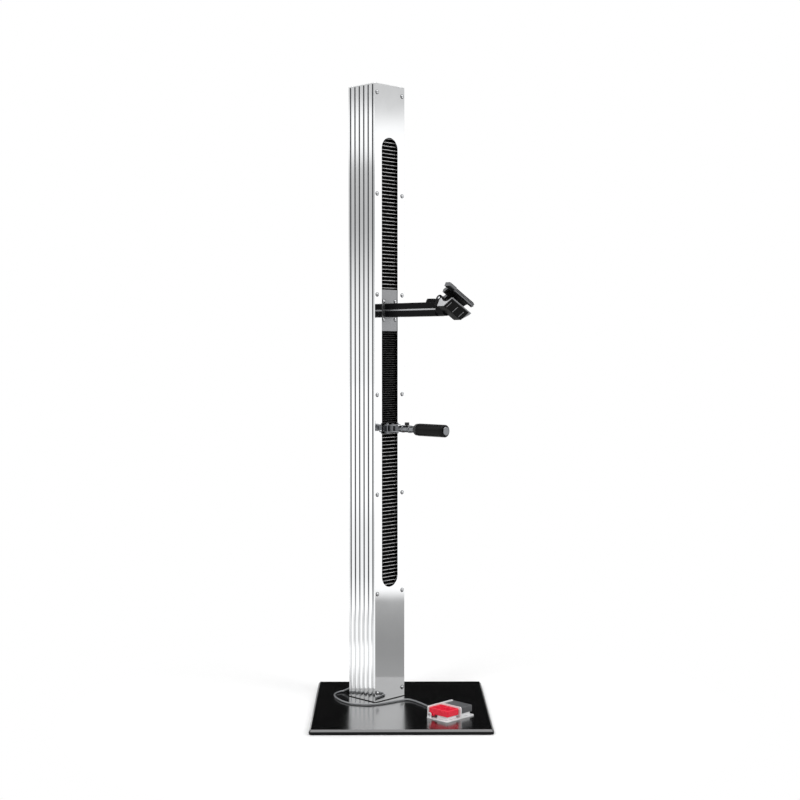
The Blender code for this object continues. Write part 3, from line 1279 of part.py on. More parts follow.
def make_foot_switch():
    switch = frame_empty("switch_frame", (*SWITCH_AT, PLATE_TOP), (0, 0, SWITCH_TURN))
    make_foot_guard(switch)
    make_pedal("red_pedal", RED_X, red_plastic(), switch)
    make_pedal("grey_pedal", GREY_X, grey_plastic(), switch)
    make_switch_block("red_switch_block", RED_X, switch)
    make_switch_block("grey_switch_block", GREY_X, switch)
    ends = (GUARD_LEFT - 0.0005, GUARD_RIGHT + 0.0020)
    profile = [(0, ends[0] - 0.0015), (0.0032, ends[0] - 0.0015), (0.0032, ends[0]), (PIN_R, ends[0]),
               (PIN_R, ends[1] - 0.0005), (PIN_R - 0.0005, ends[1]), (0, ends[1])]
    piece("pedal_pin", turned_about(profile, "x", (0, 0, 0), 10), bright_steel(), switch,
          (0, PIN_Y, PIN_Z))
    make_gland("guard_gland", (GUARD_GLAND_X, GUARD_BACK, GUARD_GLAND_Z), GUARD_T, False, switch)


def in_world(local, origin, turn):
    """A point of a frame that stands at origin and is turned about Z, in world space."""
    return Vector((*origin, 0)) + Matrix.Rotation(turn, 3, "Z") @ Vector(local)


def cable_route():
    """The route's points, chosen along the cable, from the column's gland to the foot switch's."""
    reach = GLAND_L + GAP
    stub = reach + CABLE_STUB
    lie = CABLE_LIE
    leaving = [in_world((COLUMN_GLAND_X, BACK_Y + far, COLUMN_GLAND_Z), COLUMN_AT, COLUMN_TURN)
               for far in (reach, stub)]
    middle = [(-0.1780, 0.1500, 0.0270), (-0.1890, 0.1520, 0.0215), (-0.2030, 0.1470, lie),
              (-0.2140, 0.1300, lie), (-0.2180, 0.1050, lie), (-0.2140, 0.0800, lie),
              (-0.2060, 0.0580, lie), (-0.1900, 0.0270, lie), (-0.1640, -0.0030, lie),
              (-0.1310, -0.0170, lie), (-0.0990, -0.0200, lie), (-0.0670, -0.0080, lie),
              (-0.0340, 0.0130, lie), (-0.0020, 0.0360, lie), (0.0150, 0.0435, lie),
              (0.0310, 0.0410, lie), (0.0470, 0.0230, lie), (0.0630, -0.0010, lie),
              (0.0780, -0.0260, lie), (0.0870, -0.0440, lie), (0.0970, -0.0660, lie),
              (0.1060, -0.0820, lie + 0.0045)]
    arriving = [in_world((GUARD_GLAND_X, GUARD_BACK + far, PLATE_TOP + GUARD_GLAND_Z), SWITCH_AT,
                         SWITCH_TURN) for far in (stub, reach)]
    return leaving + [Vector(spot) for spot in middle] + arriving


def smooth_line(route):
    """A Catmull-Rom curve through the route, about CABLE_STEP apart, with its two ends straight."""
    dense = []
    for index in range(1, len(route) - 2):
        a, b, c, d = route[index - 1:index + 3]
        for part in range(20):
            t = part / 20
            dense.append(0.5 * (2 * b + (c - a) * t + (2 * a - 5 * b + 4 * c - d) * t * t
                                + (3 * b - a - 3 * c + d) * t * t * t))
    dense.append(route[-2])
    total = sum((q - p).length for p, q in zip(dense, dense[1:]))
    count = round(total / CABLE_STEP)
    step = total / count
    points = [dense[0]]
    walked = 0.0
    for p, q in zip(dense, dense[1:]):
        walked += (q - p).length
        if walked >= step * len(points) - 1e-6 and len(points) < count:
            points.append(q)
    return [route[0]] + points + [dense[-1], route[-1]]


def make_cable():
    """The cable from the column to the foot switch, lying on the base plate."""
    curve = bpy.data.curves.new("foot_cable", "CURVE")
    curve.dimensions = "3D"
    curve.bevel_depth = CABLE_R
    curve.bevel_resolution = 2
    curve.use_fill_caps = True
    points = smooth_line(cable_route())
    line = curve.splines.new("POLY")
    line.points.add(len(points) - 1)
    for knot, spot in zip(line.points, points):
        knot.co = (*spot, 1)
    curve.materials.append(black_rubber())
    made = bpy.data.objects.new("foot_cable", curve)
    bpy.context.scene.collection.objects.link(made)


def make_column(column):
    make_foot_block(column)
    make_side_profile("side_profile_left", -1, column)
    make_side_profile("side_profile_right", 1, column)
    make_front_plate(column)
    make_back_plate(column)
    make_top_cap(column)
    for name, x in zip(("front_strip_left", "front_strip_right"), screw_places()):
        make_strip(name, x, column)
    make_guides(column)
    make_screw(column)
    make_motor(column)
    make_control_box(column)
    make_power_entry(column)
    make_limit_switches(column)
    make_gland("column_gland", (COLUMN_GLAND_X, BACK_Y, COLUMN_GLAND_Z), BACK_T, True, column)


def make_lift(carriage):
    make_carriage(carriage)
    make_arm_flange(carriage)
    make_arm(carriage)
    make_lever(carriage)
    make_lower_bracket(carriage)
    make_lower_rest(carriage)
    clamp = frame_empty("clamp_axis", (0, out(CLAMP_OUT), ARM_Z), (0, CLAMP_TILT, 0), carriage)
    make_clamp_head(clamp)
    make_lower_jaw(clamp)
    make_upper_jaw(clamp)


def settle():
    """Applies the Booleans and marks the sharp edges of what they leave."""
    graph = bpy.context.evaluated_depsgraph_get()
    for made in [each for each in bpy.data.objects if each.modifiers]:
        mesh = bpy.data.meshes.new_from_object(made.evaluated_get(graph))
        made.modifiers.clear()
        made.data = mesh
        mesh.shade_smooth()
        mesh.set_sharp_from_angle(angle=SHARP)
    for helper in [each for each in bpy.data.objects if each.hide_render]:
        bpy.data.objects.remove(helper, do_unlink=True)


def main():
    for old in list(bpy.data.objects):
        bpy.data.objects.remove(old, do_unlink=True)
    column = frame_empty("column_axis", (*COLUMN_AT, 0), (0, 0, COLUMN_TURN))
    carriage = frame_empty("carriage_axis", (0, 0, PLATE_TOP), (0, 0, 0), column)
    make_base()
    make_column(column)
    make_lift(carriage)
    make_all_bellows(column, carriage)
    make_foot_switch()
    make_cable()
    settle()


main()
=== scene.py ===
"""Electric lift repair stand: finishes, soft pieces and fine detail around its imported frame.

Metres, +Z up. The column's own frame has x along the front plate, y backwards and z up. Most
pieces are shaped there and then placed, so that every finished mesh lies in the CAD's frame."""

import json
import math

import bmesh
import bpy
from bpy.props import FloatProperty, FloatVectorProperty, PointerProperty
from bpy.types import Operator, Panel, PropertyGroup
from mathutils import Matrix, Vector

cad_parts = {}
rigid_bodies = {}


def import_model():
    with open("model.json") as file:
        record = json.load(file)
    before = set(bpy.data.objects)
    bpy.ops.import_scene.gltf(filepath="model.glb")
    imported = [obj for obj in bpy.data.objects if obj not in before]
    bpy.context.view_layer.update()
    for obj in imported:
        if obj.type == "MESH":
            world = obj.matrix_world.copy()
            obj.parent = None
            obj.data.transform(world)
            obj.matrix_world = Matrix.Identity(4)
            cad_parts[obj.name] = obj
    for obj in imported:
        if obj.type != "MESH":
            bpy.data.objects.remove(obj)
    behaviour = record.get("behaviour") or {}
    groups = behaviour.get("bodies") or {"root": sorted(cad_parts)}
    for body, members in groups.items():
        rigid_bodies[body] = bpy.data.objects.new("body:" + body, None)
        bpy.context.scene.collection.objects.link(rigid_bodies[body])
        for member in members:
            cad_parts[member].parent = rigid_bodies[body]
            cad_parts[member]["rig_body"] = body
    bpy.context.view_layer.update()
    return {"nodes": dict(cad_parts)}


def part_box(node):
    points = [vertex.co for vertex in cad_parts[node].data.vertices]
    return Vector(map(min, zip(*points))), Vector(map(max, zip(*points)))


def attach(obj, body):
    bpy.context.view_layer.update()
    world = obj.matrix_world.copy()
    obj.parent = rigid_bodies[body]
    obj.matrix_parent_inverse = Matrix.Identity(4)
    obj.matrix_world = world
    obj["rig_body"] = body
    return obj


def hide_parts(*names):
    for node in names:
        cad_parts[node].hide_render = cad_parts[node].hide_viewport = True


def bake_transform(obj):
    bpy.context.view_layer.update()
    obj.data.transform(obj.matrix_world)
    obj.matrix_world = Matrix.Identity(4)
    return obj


bl_info = {
    "name": "Lift repair stand",
    "version": (1, 0, 0),
    "blender": (4, 5, 0),
    "location": "View3D > Sidebar > Lift stand",
    "description": "Finishes and fine pieces of an electric lift repair stand",
    "category": "Object",
}

for startup in [each for each in bpy.data.objects if each.name in ("Cube", "Light", "Camera")]:
    bpy.data.objects.remove(startup)
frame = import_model()

# Places of the column, its flutes, its screws and its slot, as in the source
GAP = 0.0003
PLATE_TOP = 0.016
COLUMN_AT = (-0.0777, 0.1050)
COLUMN_TURN = math.radians(45)
COLUMN_W = 0.135
COLUMN_TOP = 2.016
FRONT_Y = -0.061
BACK_Y = 0.061
FLUTE_FIRST = 0.0100
FLUTE_PITCH = 0.0205
FLUTE_HALF = 0.0025
SCREW_X = 0.057
SCREW_INSET = 0.030
SCREW_FIRST = PLATE_TOP + SCREW_INSET
SCREW_LAST = COLUMN_TOP - SCREW_INSET
SCREW_COUNT = 7
CAP_SCREW_Y = (-0.0500, 0.0510)
CAP_SCREW_SINK = 0.00005
BELLOWS_FRONT = FRONT_Y + 0.010
BELLOWS_W = 0.084
BELLOWS_RIM = 0.006

# Places of the arm, the clamp, the lower rest and the foot switch
FLANGE_FACE = FRONT_Y + 0.001
FLANGE_SCREW_X = 0.0262
FLANGE_SCREW_Z = 0.029
ARM_Z = 1.289
ARM_OUT = 0.2215
CLAMP_OUT = 0.280
CLAMP_TILT = math.radians(28.5)
TUBE_RISE = 0.025
JAW_FOOT = 0.040
RIM_OUT = 0.026
LIP_DROP = 0.011
REST_Z = 0.9065
SWITCH_AT = (0.1537, -0.1615)
SWITCH_TURN = math.radians(45)

COLUMN = Matrix.Translation((*COLUMN_AT, 0)) @ Matrix.Rotation(COLUMN_TURN, 4, "Z")
CLAMP = (COLUMN @ Matrix.Translation((0, FRONT_Y - CLAMP_OUT, ARM_Z))
         @ Matrix.Rotation(CLAMP_TILT, 4, "Y"))
REST = COLUMN @ Matrix.Translation((0, FRONT_Y, REST_Z)) @ Matrix.Rotation(math.pi / 2, 4, "X")
SWITCH = Matrix.Translation((*SWITCH_AT, PLATE_TOP)) @ Matrix.Rotation(SWITCH_TURN, 4, "Z")

# The arm's seam beads, the bars in the lower cover's three slots, and the dark bead round the
# column's foot, painted shade where the column meets the plate
SEAM_X = 0.0197
SEAM_W = 0.0014
SEAM_H = 0.0044
SEAM_GAP = 0.0006
SEAM_EDGE = 0.0004
SLOT_X = (-0.034, -0.003, 0.028)
SLOT_BAR = (0.0022, 0.0225, 0.0018)
SLOT_ALONG = 0.0145
SLOT_OUT = 0.0011
SLOT_EDGE = 0.0003
FOOT_BEAD_W = 0.0026
FOOT_BEAD_H = 0.0020
FOOT_BEAD_PROUD = 0.0014
FOOT_BEAD_EDGE = 0.0006

# The dome screws, the lower rest's roller and the collars on its tube
HEAD_R = 0.0055
HEAD_STEPS = 24
ROLLER_R = 0.0198
ROLLER_ENDS = (0.1318, 0.2460)
ROLLER_BORE = 0.0078
GROOVES = (0.0050, 0.0100)
GROOVE_DEPTH = 0.0006
TUBE_R = 0.01085
COLLAR_R = 0.0121
COLLARS = ((0.0578, 0.0662), (0.0878, 0.0962))
ROLLER_STEPS = 64

# The foot switch's cable, from the gland in the column's back to the one on the foot guard
CABLE_D = 0.006
CABLE_LIE = PLATE_TOP + CABLE_D / 2 + GAP
COLUMN_GLAND = Vector((-0.038, BACK_Y, 0.034))
GUARD_GLAND = Vector((0.020, 0.046, 0.012))
GLAND_END = Vector((0, 0.0183, 0))
CABLE_STUB = Vector((0, 0.0263, 0))
CABLE_STEPS = 6
CABLE_MIDDLE = [(-0.1780, 0.1500, 0.0270), (-0.1890, 0.1520, 0.0215), (-0.2030, 0.1470, CABLE_LIE),
                (-0.2140, 0.1300, CABLE_LIE), (-0.2180, 0.1050, CABLE_LIE),
                (-0.2140, 0.0800, CABLE_LIE), (-0.2060, 0.0580, CABLE_LIE),
                (-0.1900, 0.0270, CABLE_LIE), (-0.1640, -0.0030, CABLE_LIE),
                (-0.1310, -0.0170, CABLE_LIE), (-0.0990, -0.0200, CABLE_LIE),
                (-0.0670, -0.0080, CABLE_LIE), (-0.0340, 0.0130, CABLE_LIE),
                (-0.0020, 0.0360, CABLE_LIE), (0.0150, 0.0435, CABLE_LIE),
                (0.0310, 0.0410, CABLE_LIE), (0.0470, 0.0230, CABLE_LIE),
                (0.0630, -0.0010, CABLE_LIE), (0.0780, -0.0260, CABLE_LIE),
                (0.0870, -0.0440, CABLE_LIE), (0.0970, -0.0660, CABLE_LIE),
                (0.1060, -0.0820, CABLE_LIE + 0.0045)]

# Rounding: points that count as one, faces that count as flat, edges that are sharp, the folds'
# bends, and how closely a face of the lower jaw has to look down to be its underside
SAME_POINT = 2e-6
FLAT = math.radians(1)
SHARP = math.radians(35)
FOLD_EDGE = 0.0009
UNDERSIDE = 0.9

# The camera, and each soft lamp's place and power in watts
CAMERA_LENS = 62.56
CAMERA_SENSOR = 36
CAMERA_AT = (-0.0383, -4.461, 1.1629)
CAMERA_PITCH = math.radians(87.913)
CAMERA_PAN = math.radians(-0.468)
LAMPS = {"key_lamp": ((-2.2, -2.6, 3.6), 60), "fill_lamp": ((2.8, -2.0, 2.2), 45),
         "back_lamp": ((0.5, 3.0, 3.4), 30)}
LAMP_TARGET = Vector((0, 0, 1.0))
LAMP_SIZE = 2.0

# The room's strength, the white that the camera then sees, the light on dull surfaces, the soft
# box overhead and the dark low behind
ROOM_LEVEL = 1.15
WHITE = 1 / ROOM_LEVEL
AMBIENT = 0.6
SOFT_BOX = 3.0
DARK = 0.004

# Where one part of the room fades into the next, by how far a direction points right, back or up
SIDE_TURN = (-0.2, 0.2)
WALL_TURN = (0.38, 0.55)
FLOOR_TURN = (0.42, 0.60)
FLOOR_SLANT = (0.02, 0.14)
BEHIND = (0.75, 0.88)
OVERHEAD = (0.75, 0.85)

# Brightness of the walls by height: 0 is WALL_REACH below the horizon and 1 as far above it. The
# light behind the stand goes by the height itself
WALL_REACH = 0.3
RIGHT_WALL = [(0.0, 1.0), (0.760, 1.0), (0.785, 0.55), (0.830, 0.55), (0.86, 1.0)]
LEFT_WALL = [(0.0, 1.0), (0.51, 0.9), (0.57, 0.8), (0.64, 0.48), (0.715, 0.5), (0.735, 1.0),
             (0.778, 1.0), (0.792, 0.55), (0.830, 0.55), (0.86, 1.0)]
GREY_WALL = [(0.0, 0.62), (0.45, 0.42), (0.62, 0.22), (0.80, 0.36), (1.0, 0.25)]
LIGHT_BEHIND = [(0.0, 1.0), (0.02, 1.0), (0.05, 0.0), (0.50, 0.0), (0.60, 1.0)]

# Brightness of the floor by distance, as a share of FLOOR_REACH, and where its shadows fade out
FLOOR_R = 40
FLOOR_REACH = 8.0
SHADOW_FADE = (0.55, 1.1)
RIGHT_FLOOR = [(0.015, 0.46), (0.037, 0.31), (0.09, 0.27), (0.12, 0.27), (0.17, 0.30),
               (0.23, 0.36), (0.265, 1.0)]
LEFT_FLOOR = [(0.23, 1.0), (0.35, 0.88), (0.60, 0.88), (0.80, 1.0)]
SLANTED_FLOOR = [(0.01, 0.55), (0.065, 0.62), (0.09, 1.0), (0.125, 1.0), (0.145, 0.6),
                 (0.20, 0.62), (0.23, 1.0)]
GREY_FLOOR = [(0.055, 0.12), (0.075, 0.5), (0.15, 0.7), (0.30, 0.42), (0.60, 0.62)]

# Finishes: the spans of noise that a tone and a roughness run over, how far a softened normal
# leans from the flat one at an edge, as a cosine, and the share of a tone's strength that lightens
TONE_SPAN = (0.12, 0.42)
CLOUD_SPAN = (0.3, 0.7)
EDGE_SPAN = (0.985, 0.86)
LIGHTER = 0.6

# Bellows sheet: the span of noise that the painted crest highlight runs over, its least as a
# share of its most, and the share of a crest's reach that is painted in full
CREST_HIGHLIGHT_SPAN = (0.3, 0.6)
CREST_HIGHLIGHT_LEAST = 0.55
CREST_HIGHLIGHT_FULL = 0.6

# Painted shade in the flutes: how far past a flute's edge it starts and is full, the heights
# between which it grows, and its share at the foot
FLUTE_SHADE_PAST = (0.0009, 0.0004)
FLUTE_SHADE_RISE = (0.26, 0.42)
FLUTE_SHADE_LEAST = 0.12

METAL = {"Metallic": 1.0}
MADE = {}


def linear(code):
    """The linear colour of an sRGB hex value."""
    parts = [int(code[start:start + 2], 16) / 255 for start in (1, 3, 5)]
    return tuple(part / 12.92 if part <= 0.04045 else ((part + 0.055) / 1.055) ** 2.4
                 for part in parts)


def colour(name, text, code):
    """A colour for the sidebar, which starts at an sRGB hex value."""
    return FloatVectorProperty(name=name, description=text, default=linear(code), size=3,
                               min=0.0, max=1.0, subtype="COLOR")


def length(name, text, default):
    """A length for the sidebar, in metres."""
    return FloatProperty(name=name, description=text, default=default, min=0.0, unit="LENGTH",
                         subtype="DISTANCE")


class StandFinishes(PropertyGroup):
    """Colours of the stand's finishes."""
    aluminium: colour("Aluminium", "Brushed and clear anodised aluminium", "#F4F5F6")
    blasted: colour("Blasted plate", "Bead blasted aluminium of the lower jaw", "#B9BABC")
    # Colour of the painted shade in the side profiles' flutes
    flute_shade: colour("Flute shade", "Painted shade in the side profiles' flutes", "#77797B")
    cast: colour("Cast aluminium", "Blasted cast aluminium", "#9A9B9D")
    hard: colour("Hard anodised", "Dark hard anodised aluminium of the upper jaw", "#6E6F71")
    steel: colour("Steel", "Ground and polished steel", "#D9DADC")
    chrome: colour("Chrome", "Dark chromed steel of the lower rest", "#85878A")
    bronze: colour("Bronze", "Bearing bronze of the lift nut", "#B98A4E")
    enamel: colour("Enamel", "Gloss black enamel of the base plate", "#040405")
    coating: colour("Coating", "Satin black coating of the arm, lever and clamp head", "#08080A")
    rubber: colour("Rubber", "Black moulded rubber", "#0D0D0D")
    sheet: colour("Sheet", "Coated sheet of the bellows, and the roller's ground rubber", "#090909")
    # Colour of the painted highlight along the bellows' crests
    crest: colour("Fold crest", "Painted highlight on the crests of the bellows' folds", "#FAFAFA")
    crimson: colour("Crimson", "Moulded plastic of the stop pedal", "#F41B3B")
    grey: colour("Grey", "Moulded plastic of the lift pedal", "#58595B")
    nylon: colour("Nylon", "Black nylon of the glands, knob and inlet", "#1A1A1B")
    paint: colour("Paint", "Light grey of the foot guard and the sealed switches", "#ECECED")
    jacket: colour("Jacket", "Cable jacket", "#87898B")


class StandSizes(PropertyGroup):
    """Sizes of the stand's fine pieces."""
    fold_pitch: length("Fold pitch", "Height of one fold of the stretched bellows", 0.012)
    packed_pitch: length("Packed pitch", "Height of one fold of the middle bellows", 0.0073)
    fold_depth: length("Fold depth", "Depth of the folds, front to back", 0.012)
    sheet: length("Bellows sheet", "Thickness of the bellows' sheet", 0.0012)
    head: length("Screw head", "Radius of a dome screw's head", HEAD_R)
    cable: length("Cable", "Diameter of the foot switch's cable", CABLE_D)


def node(tree, kind, inputs=(), stops=(), **settings):
    """Adds a shader node with its settings. inputs maps its sockets to values, to the outputs of
    other nodes, or to other nodes, where the first output in use is meant."""
    made = tree.nodes.new("ShaderNode" + kind)
    for key, value in settings.items():
        setattr(made, key, value)
    for key, value in dict(inputs).items():
        if isinstance(value, bpy.types.Node):
            value = next(output for output in value.outputs if output.enabled)
        if isinstance(value, bpy.types.NodeSocket):
            tree.links.new(value, made.inputs[key])
        else:
            made.inputs[key].default_value = value
    for index, (place, shade) in enumerate(stops):
        stop = made.color_ramp.elements[index] if index < 2 else made.color_ramp.elements.new(place)
        stop.position = place
        stop.color = (*shade, 1.0) if isinstance(shade, tuple) else even(shade)
    return made


def even(level):
    """A grey of one brightness, for a colour socket."""
    return (level, level, level, 1.0)


def mm(*values):
    """Millimetres as metres, one number or a vector."""
    scaled = tuple(value / 1000 for value in values)
    return scaled[0] if len(scaled) == 1 else scaled


def tint(name):
    """A colour from the sidebar's finishes."""
    return tuple(getattr(bpy.context.scene.stand_finishes, name))


def blank(name):
    """A new material without nodes, and its tree."""
    made = bpy.data.materials.new(name)
    made.use_nodes = True
    made.node_tree.nodes.clear()
    return made, made.node_tree


def in_column(tree):
    """Across, depth and height in the column's own frame."""
    place = node(tree, "TexCoord").outputs["Object"]
    turned = node(tree, "Mapping", {"Vector": place, "Location": (*COLUMN_AT, 0),
                                    "Rotation": (0, 0, COLUMN_TURN)}, vector_type="TEXTURE")
    return node(tree, "SeparateXYZ", {0: turned}).outputs


def mottle(tree, place, size, detail, rough=0.5, turn=0.0):
    """Noise whose marks have the size along x, y and z, in millimetres, turned about Z."""
    scaled = node(tree, "Mapping", {"Vector": place, "Scale": mm(*size), "Rotation": (0, 0, turn)},
                  vector_type="TEXTURE")
    return node(tree, "TexNoise", {"Vector": scaled, "Scale": 1.0, "Detail": detail,
                                   "Roughness": rough})


def surface(name, base, patches, grain, rough, bump, edge=(0.3, "#000000", 0.0), turn=0.0,
            painted_shade=None, sockets=()):
    """A finish in two scales, in millimetres. patches is how large and how strong the colour's
    clouds are; grain the size of the finest marks along x, y and z, turned about Z; rough the
    roughness of the smoothest and the dullest place; bump the height of the marks. Edges are
    softened by edge's width, and turn to its colour as far as its share says: partly wear and
    partly a painted highlight along the edges. The function given before sockets says where the
    colour and roughness beside it take over, as painted shade. sockets are the shader's further
    values."""
    made, tree = blank(name)
    place = node(tree, "TexCoord").outputs["Object"]
    marks = mottle(tree, place, grain, detail=3.0, rough=0.6, turn=turn)
    cloud = mottle(tree, place, (patches[0],) * 3, detail=4.0, rough=0.55)
    both = node(tree, "Math", {0: marks, 1: cloud}, operation="MULTIPLY")
    low = tuple(part * (1 - patches[1]) for part in base)
    high = tuple(min(1.0, part * (1 + patches[1] * LIGHTER)) for part in base)
    tone = node(tree, "ValToRGB", {"Fac": both}, zip(TONE_SPAN, (low, high)))
    dull = node(tree, "MapRange", {"Value": cloud, "From Min": CLOUD_SPAN[0],
                                   "From Max": CLOUD_SPAN[1], "To Min": rough[0],
                                   "To Max": rough[1]})
    # Edges turn to the edge colour: partly wear, partly a painted highlight along the edges
    width, edge_wear_and_highlight, share = edge
    soft = node(tree, "Bevel", {"Radius": mm(width)}, samples=6)
    if share:
        # The clouds are about a half, so twice the share comes out as the share
        flat = node(tree, "NewGeometry").outputs["Normal"]
        facing = node(tree, "VectorMath", {0: soft, 1: flat}, operation="DOT_PRODUCT")
        edge_wear_and_highlight_mask = node(tree, "MapRange", {"Value": facing, "From Min": EDGE_SPAN[0],
                                       "From Max": EDGE_SPAN[1], "To Max": share * 2})
        patchy = node(tree, "Math", {0: edge_wear_and_highlight_mask, 1: cloud}, operation="MULTIPLY")
        tone = node(tree, "Mix", {0: patchy, 6: tone, 7: (*linear(edge_wear_and_highlight), 1)}, data_type="RGBA")
    # Painted shade: where the mask holds, the colour and roughness beside it take over
    if painted_shade:
        held = painted_shade[0](tree)
        tone = node(tree, "Mix", {0: held, 6: tone, 7: (*painted_shade[1], 1)}, data_type="RGBA")
        dull = node(tree, "MapRange", {"Value": held, "To Min": dull, "To Max": painted_shade[2]})
    relief = node(tree, "Bump", {"Height": marks, "Distance": mm(bump), "Normal": soft})
    shader = node(tree, "BsdfPrincipled", {"Base Color": tone, "Roughness": dull, "Normal": relief,
                                           **dict(sockets)})
    node(tree, "OutputMaterial", {"Surface": shader})
    return made


def brushed_aluminium():
    """Extruded and plate aluminium, brushed along its length and clear anodised: long fine lines
    that spread a reflection sideways and keep it sharp from top to bottom."""
    return surface("brushed_anodised_aluminium", tint("aluminium"), patches=(90, 0.02),
                   grain=(0.5, 0.5, 90), rough=(0.05, 0.08), bump=0.004,
                   edge=(0.4, "#FFFFFF", 0.3), turn=COLUMN_TURN, sockets=METAL)


def shade_in_flutes(tree):
    """One in and beside the flutes of the side profiles, where painted shade darkens the aluminium,
    less near the foot. It reaches 0.9 mm past the flutes' edges, because they hardly show
    otherwise."""
    depth, height = in_column(tree)[1:]
    start = node(tree, "Math", {0: depth, 1: FRONT_Y + FLUTE_FIRST}, operation="SUBTRACT")
    beside = node(tree, "Math", {0: start, 1: FLUTE_PITCH / 2}, operation="PINGPONG")
    held = node(tree, "MapRange", {"Value": beside, "From Min": FLUTE_HALF + FLUTE_SHADE_PAST[0],
                                   "From Max": FLUTE_HALF + FLUTE_SHADE_PAST[1]})
    raised = node(tree, "MapRange", {"Value": height, "From Min": FLUTE_SHADE_RISE[0],
                                     "From Max": FLUTE_SHADE_RISE[1], "To Min": FLUTE_SHADE_LEAST})
    return node(tree, "Math", {0: held, 1: raised}, operation="MULTIPLY")


def fluted_aluminium():
    """The same aluminium on the extruded side profiles, with painted shade in and beside their
    flutes.
    """
    return surface("fluted_anodised_aluminium", tint("aluminium"), patches=(90, 0.02),
                   grain=(0.5, 0.5, 90), rough=(0.05, 0.08), bump=0.004,
                   edge=(0.3, "#FFFFFF", 0.2), turn=COLUMN_TURN,
                   painted_shade=(shade_in_flutes, tint("flute_shade"), 0.3), sockets=METAL)


def blasted_plate():
    """Aluminium plate, bead blasted and clear anodised: pale, even and matt."""
    return surface("bead_blasted_aluminium", tint("blasted"), patches=(40, 0.06),
                   grain=(0.5, 0.5, 0.5), rough=(0.30, 0.40), bump=0.02,
                   edge=(0.4, "#FFFFFF", 0.4), sockets=METAL)


def turned_steel():
    """Dark chromed steel, turned and polished: rings round the piece and hard highlights."""
    return surface("dark_chromed_steel", tint("chrome"), patches=(25, 0.15), grain=(6, 0.4, 6),
                   rough=(0.10, 0.2), bump=0.008, edge=(0.4, "#E8E9EB", 0.6), turn=COLUMN_TURN,
                   sockets=METAL)


def blasted_aluminium():
    """Cast aluminium, blasted with fine grit: an even grey with a soft grain and bright edges,
    partly wear and partly a painted highlight.
    """
    return surface("blasted_cast_aluminium", tint("cast"), patches=(30, 0.12),
                   grain=(0.7, 0.7, 0.7), rough=(0.34, 0.46), bump=0.03,
                   edge=(0.5, "#D4D5D8", 0.5), sockets=METAL)


def hard_anodised():
    """Aluminium plate, blasted and hard anodised: dark grey, with bright edges, partly bare metal
    and partly a painted highlight.
    """
    return surface("hard_anodised_aluminium", tint("hard"), patches=(30, 0.12),
                   grain=(0.6, 0.6, 0.6), rough=(0.26, 0.36), bump=0.02,
                   edge=(0.5, "#E4E5E7", 0.7), sockets=METAL)


def ground_steel():
    """Ground steel: fine marks round the piece, brighter than the aluminium castings."""
    return surface("ground_steel", tint("steel"), patches=(20, 0.1), grain=(3, 3, 0.4),
                   rough=(0.12, 0.24), bump=0.006, edge=(0.3, "#F2F2F3", 0.4), sockets=METAL)


def bearing_bronze():
    """Turned bearing bronze: warm, with darker oiled patches."""
    return surface("bearing_bronze", tint("bronze"), patches=(9, 0.25), grain=(3, 3, 0.4),
                   rough=(0.22, 0.4), bump=0.01, sockets=METAL)


def gloss_enamel():
    """Sprayed and baked black enamel: glossy, with a faint orange-peel ripple that softens what
    it mirrors, greyed along its edges, partly by wear and partly as a painted highlight."""
    return surface("gloss_black_enamel", tint("enamel"), patches=(120, 0.3), grain=(7, 7, 7),
                   rough=(0.18, 0.24), bump=0.004, edge=(0.8, "#55565A", 0.35),
                   sockets={"Coat Weight": 1.0, "Coat Roughness": 0.19})


def satin_coating():
    """Black powder coat with a fine satin grain, grey along its edges, partly wear and partly a
    painted highlight.
    """
    return surface("satin_black_powder_coat", tint("coating"), patches=(40, 0.25),
                   grain=(0.6, 0.6, 0.6), rough=(0.26, 0.36), bump=0.012,
                   edge=(0.5, "#6A6B6D", 0.35), sockets={"Specular IOR Level": 0.08})


def moulded_rubber():
    """Moulded black rubber: matt, with a dusty bloom in patches."""
    return surface("moulded_black_rubber", tint("rubber"), patches=(18, 0.4),
                   grain=(0.5, 0.5, 0.5), rough=(0.38, 0.55), bump=0.02,
                   edge=(0.4, "#3C3C3D", 0.4), sockets={"Specular IOR Level": 0.15})


def roller_rubber():
    """Ground and polished roller rubber: black, with a sheen along its length."""
    return surface("ground_roller_rubber", tint("sheet"), patches=(18, 0.4),
                   grain=(0.5, 0.5, 0.5), rough=(0.22, 0.34), bump=0.01,
                   edge=(0.4, "#3C3C3D", 0.3), sockets={"Specular IOR Level": 0.12})


def cable_jacket():
    """Extruded PVC jacket: grey, glossy along the top, with a faint lengthwise haze."""
    return surface("extruded_pvc_jacket", tint("jacket"), patches=(35, 0.2), grain=(1.2, 1.2, 1.2),
                   rough=(0.16, 0.28), bump=0.006, sockets={"Coat Weight": 0.4})


def crimson_plastic():
    """Injection-moulded ABS in crimson: a soft sheen over a fine spark-eroded grain."""
    return surface("crimson_abs", tint("crimson"), patches=(22, 0.1), grain=(0.4, 0.4, 0.4),
                   rough=(0.2, 0.3), bump=0.01, edge=(0.8, "#F4566B", 0.5),
                   sockets={"Coat Weight": 0.25})


def grey_plastic():
    """Injection-moulded ABS in dark grey, with the same fine grain and pale edges, partly wear and
    partly a painted highlight.
    """
    return surface("dark_grey_abs", tint("grey"), patches=(22, 0.15), grain=(0.4, 0.4, 0.4),
                   rough=(0.3, 0.42), bump=0.012, edge=(1.0, "#D2D4D6", 0.8))


def light_plastic():
    """Light grey housing plastic of the sealed switches under the pedals."""
    return surface("light_grey_pbt", tint("paint"), patches=(12, 0.08), grain=(0.4, 0.4, 0.4),
                   rough=(0.34, 0.44), bump=0.012, edge=(0.4, "#EDEDED", 0.4))


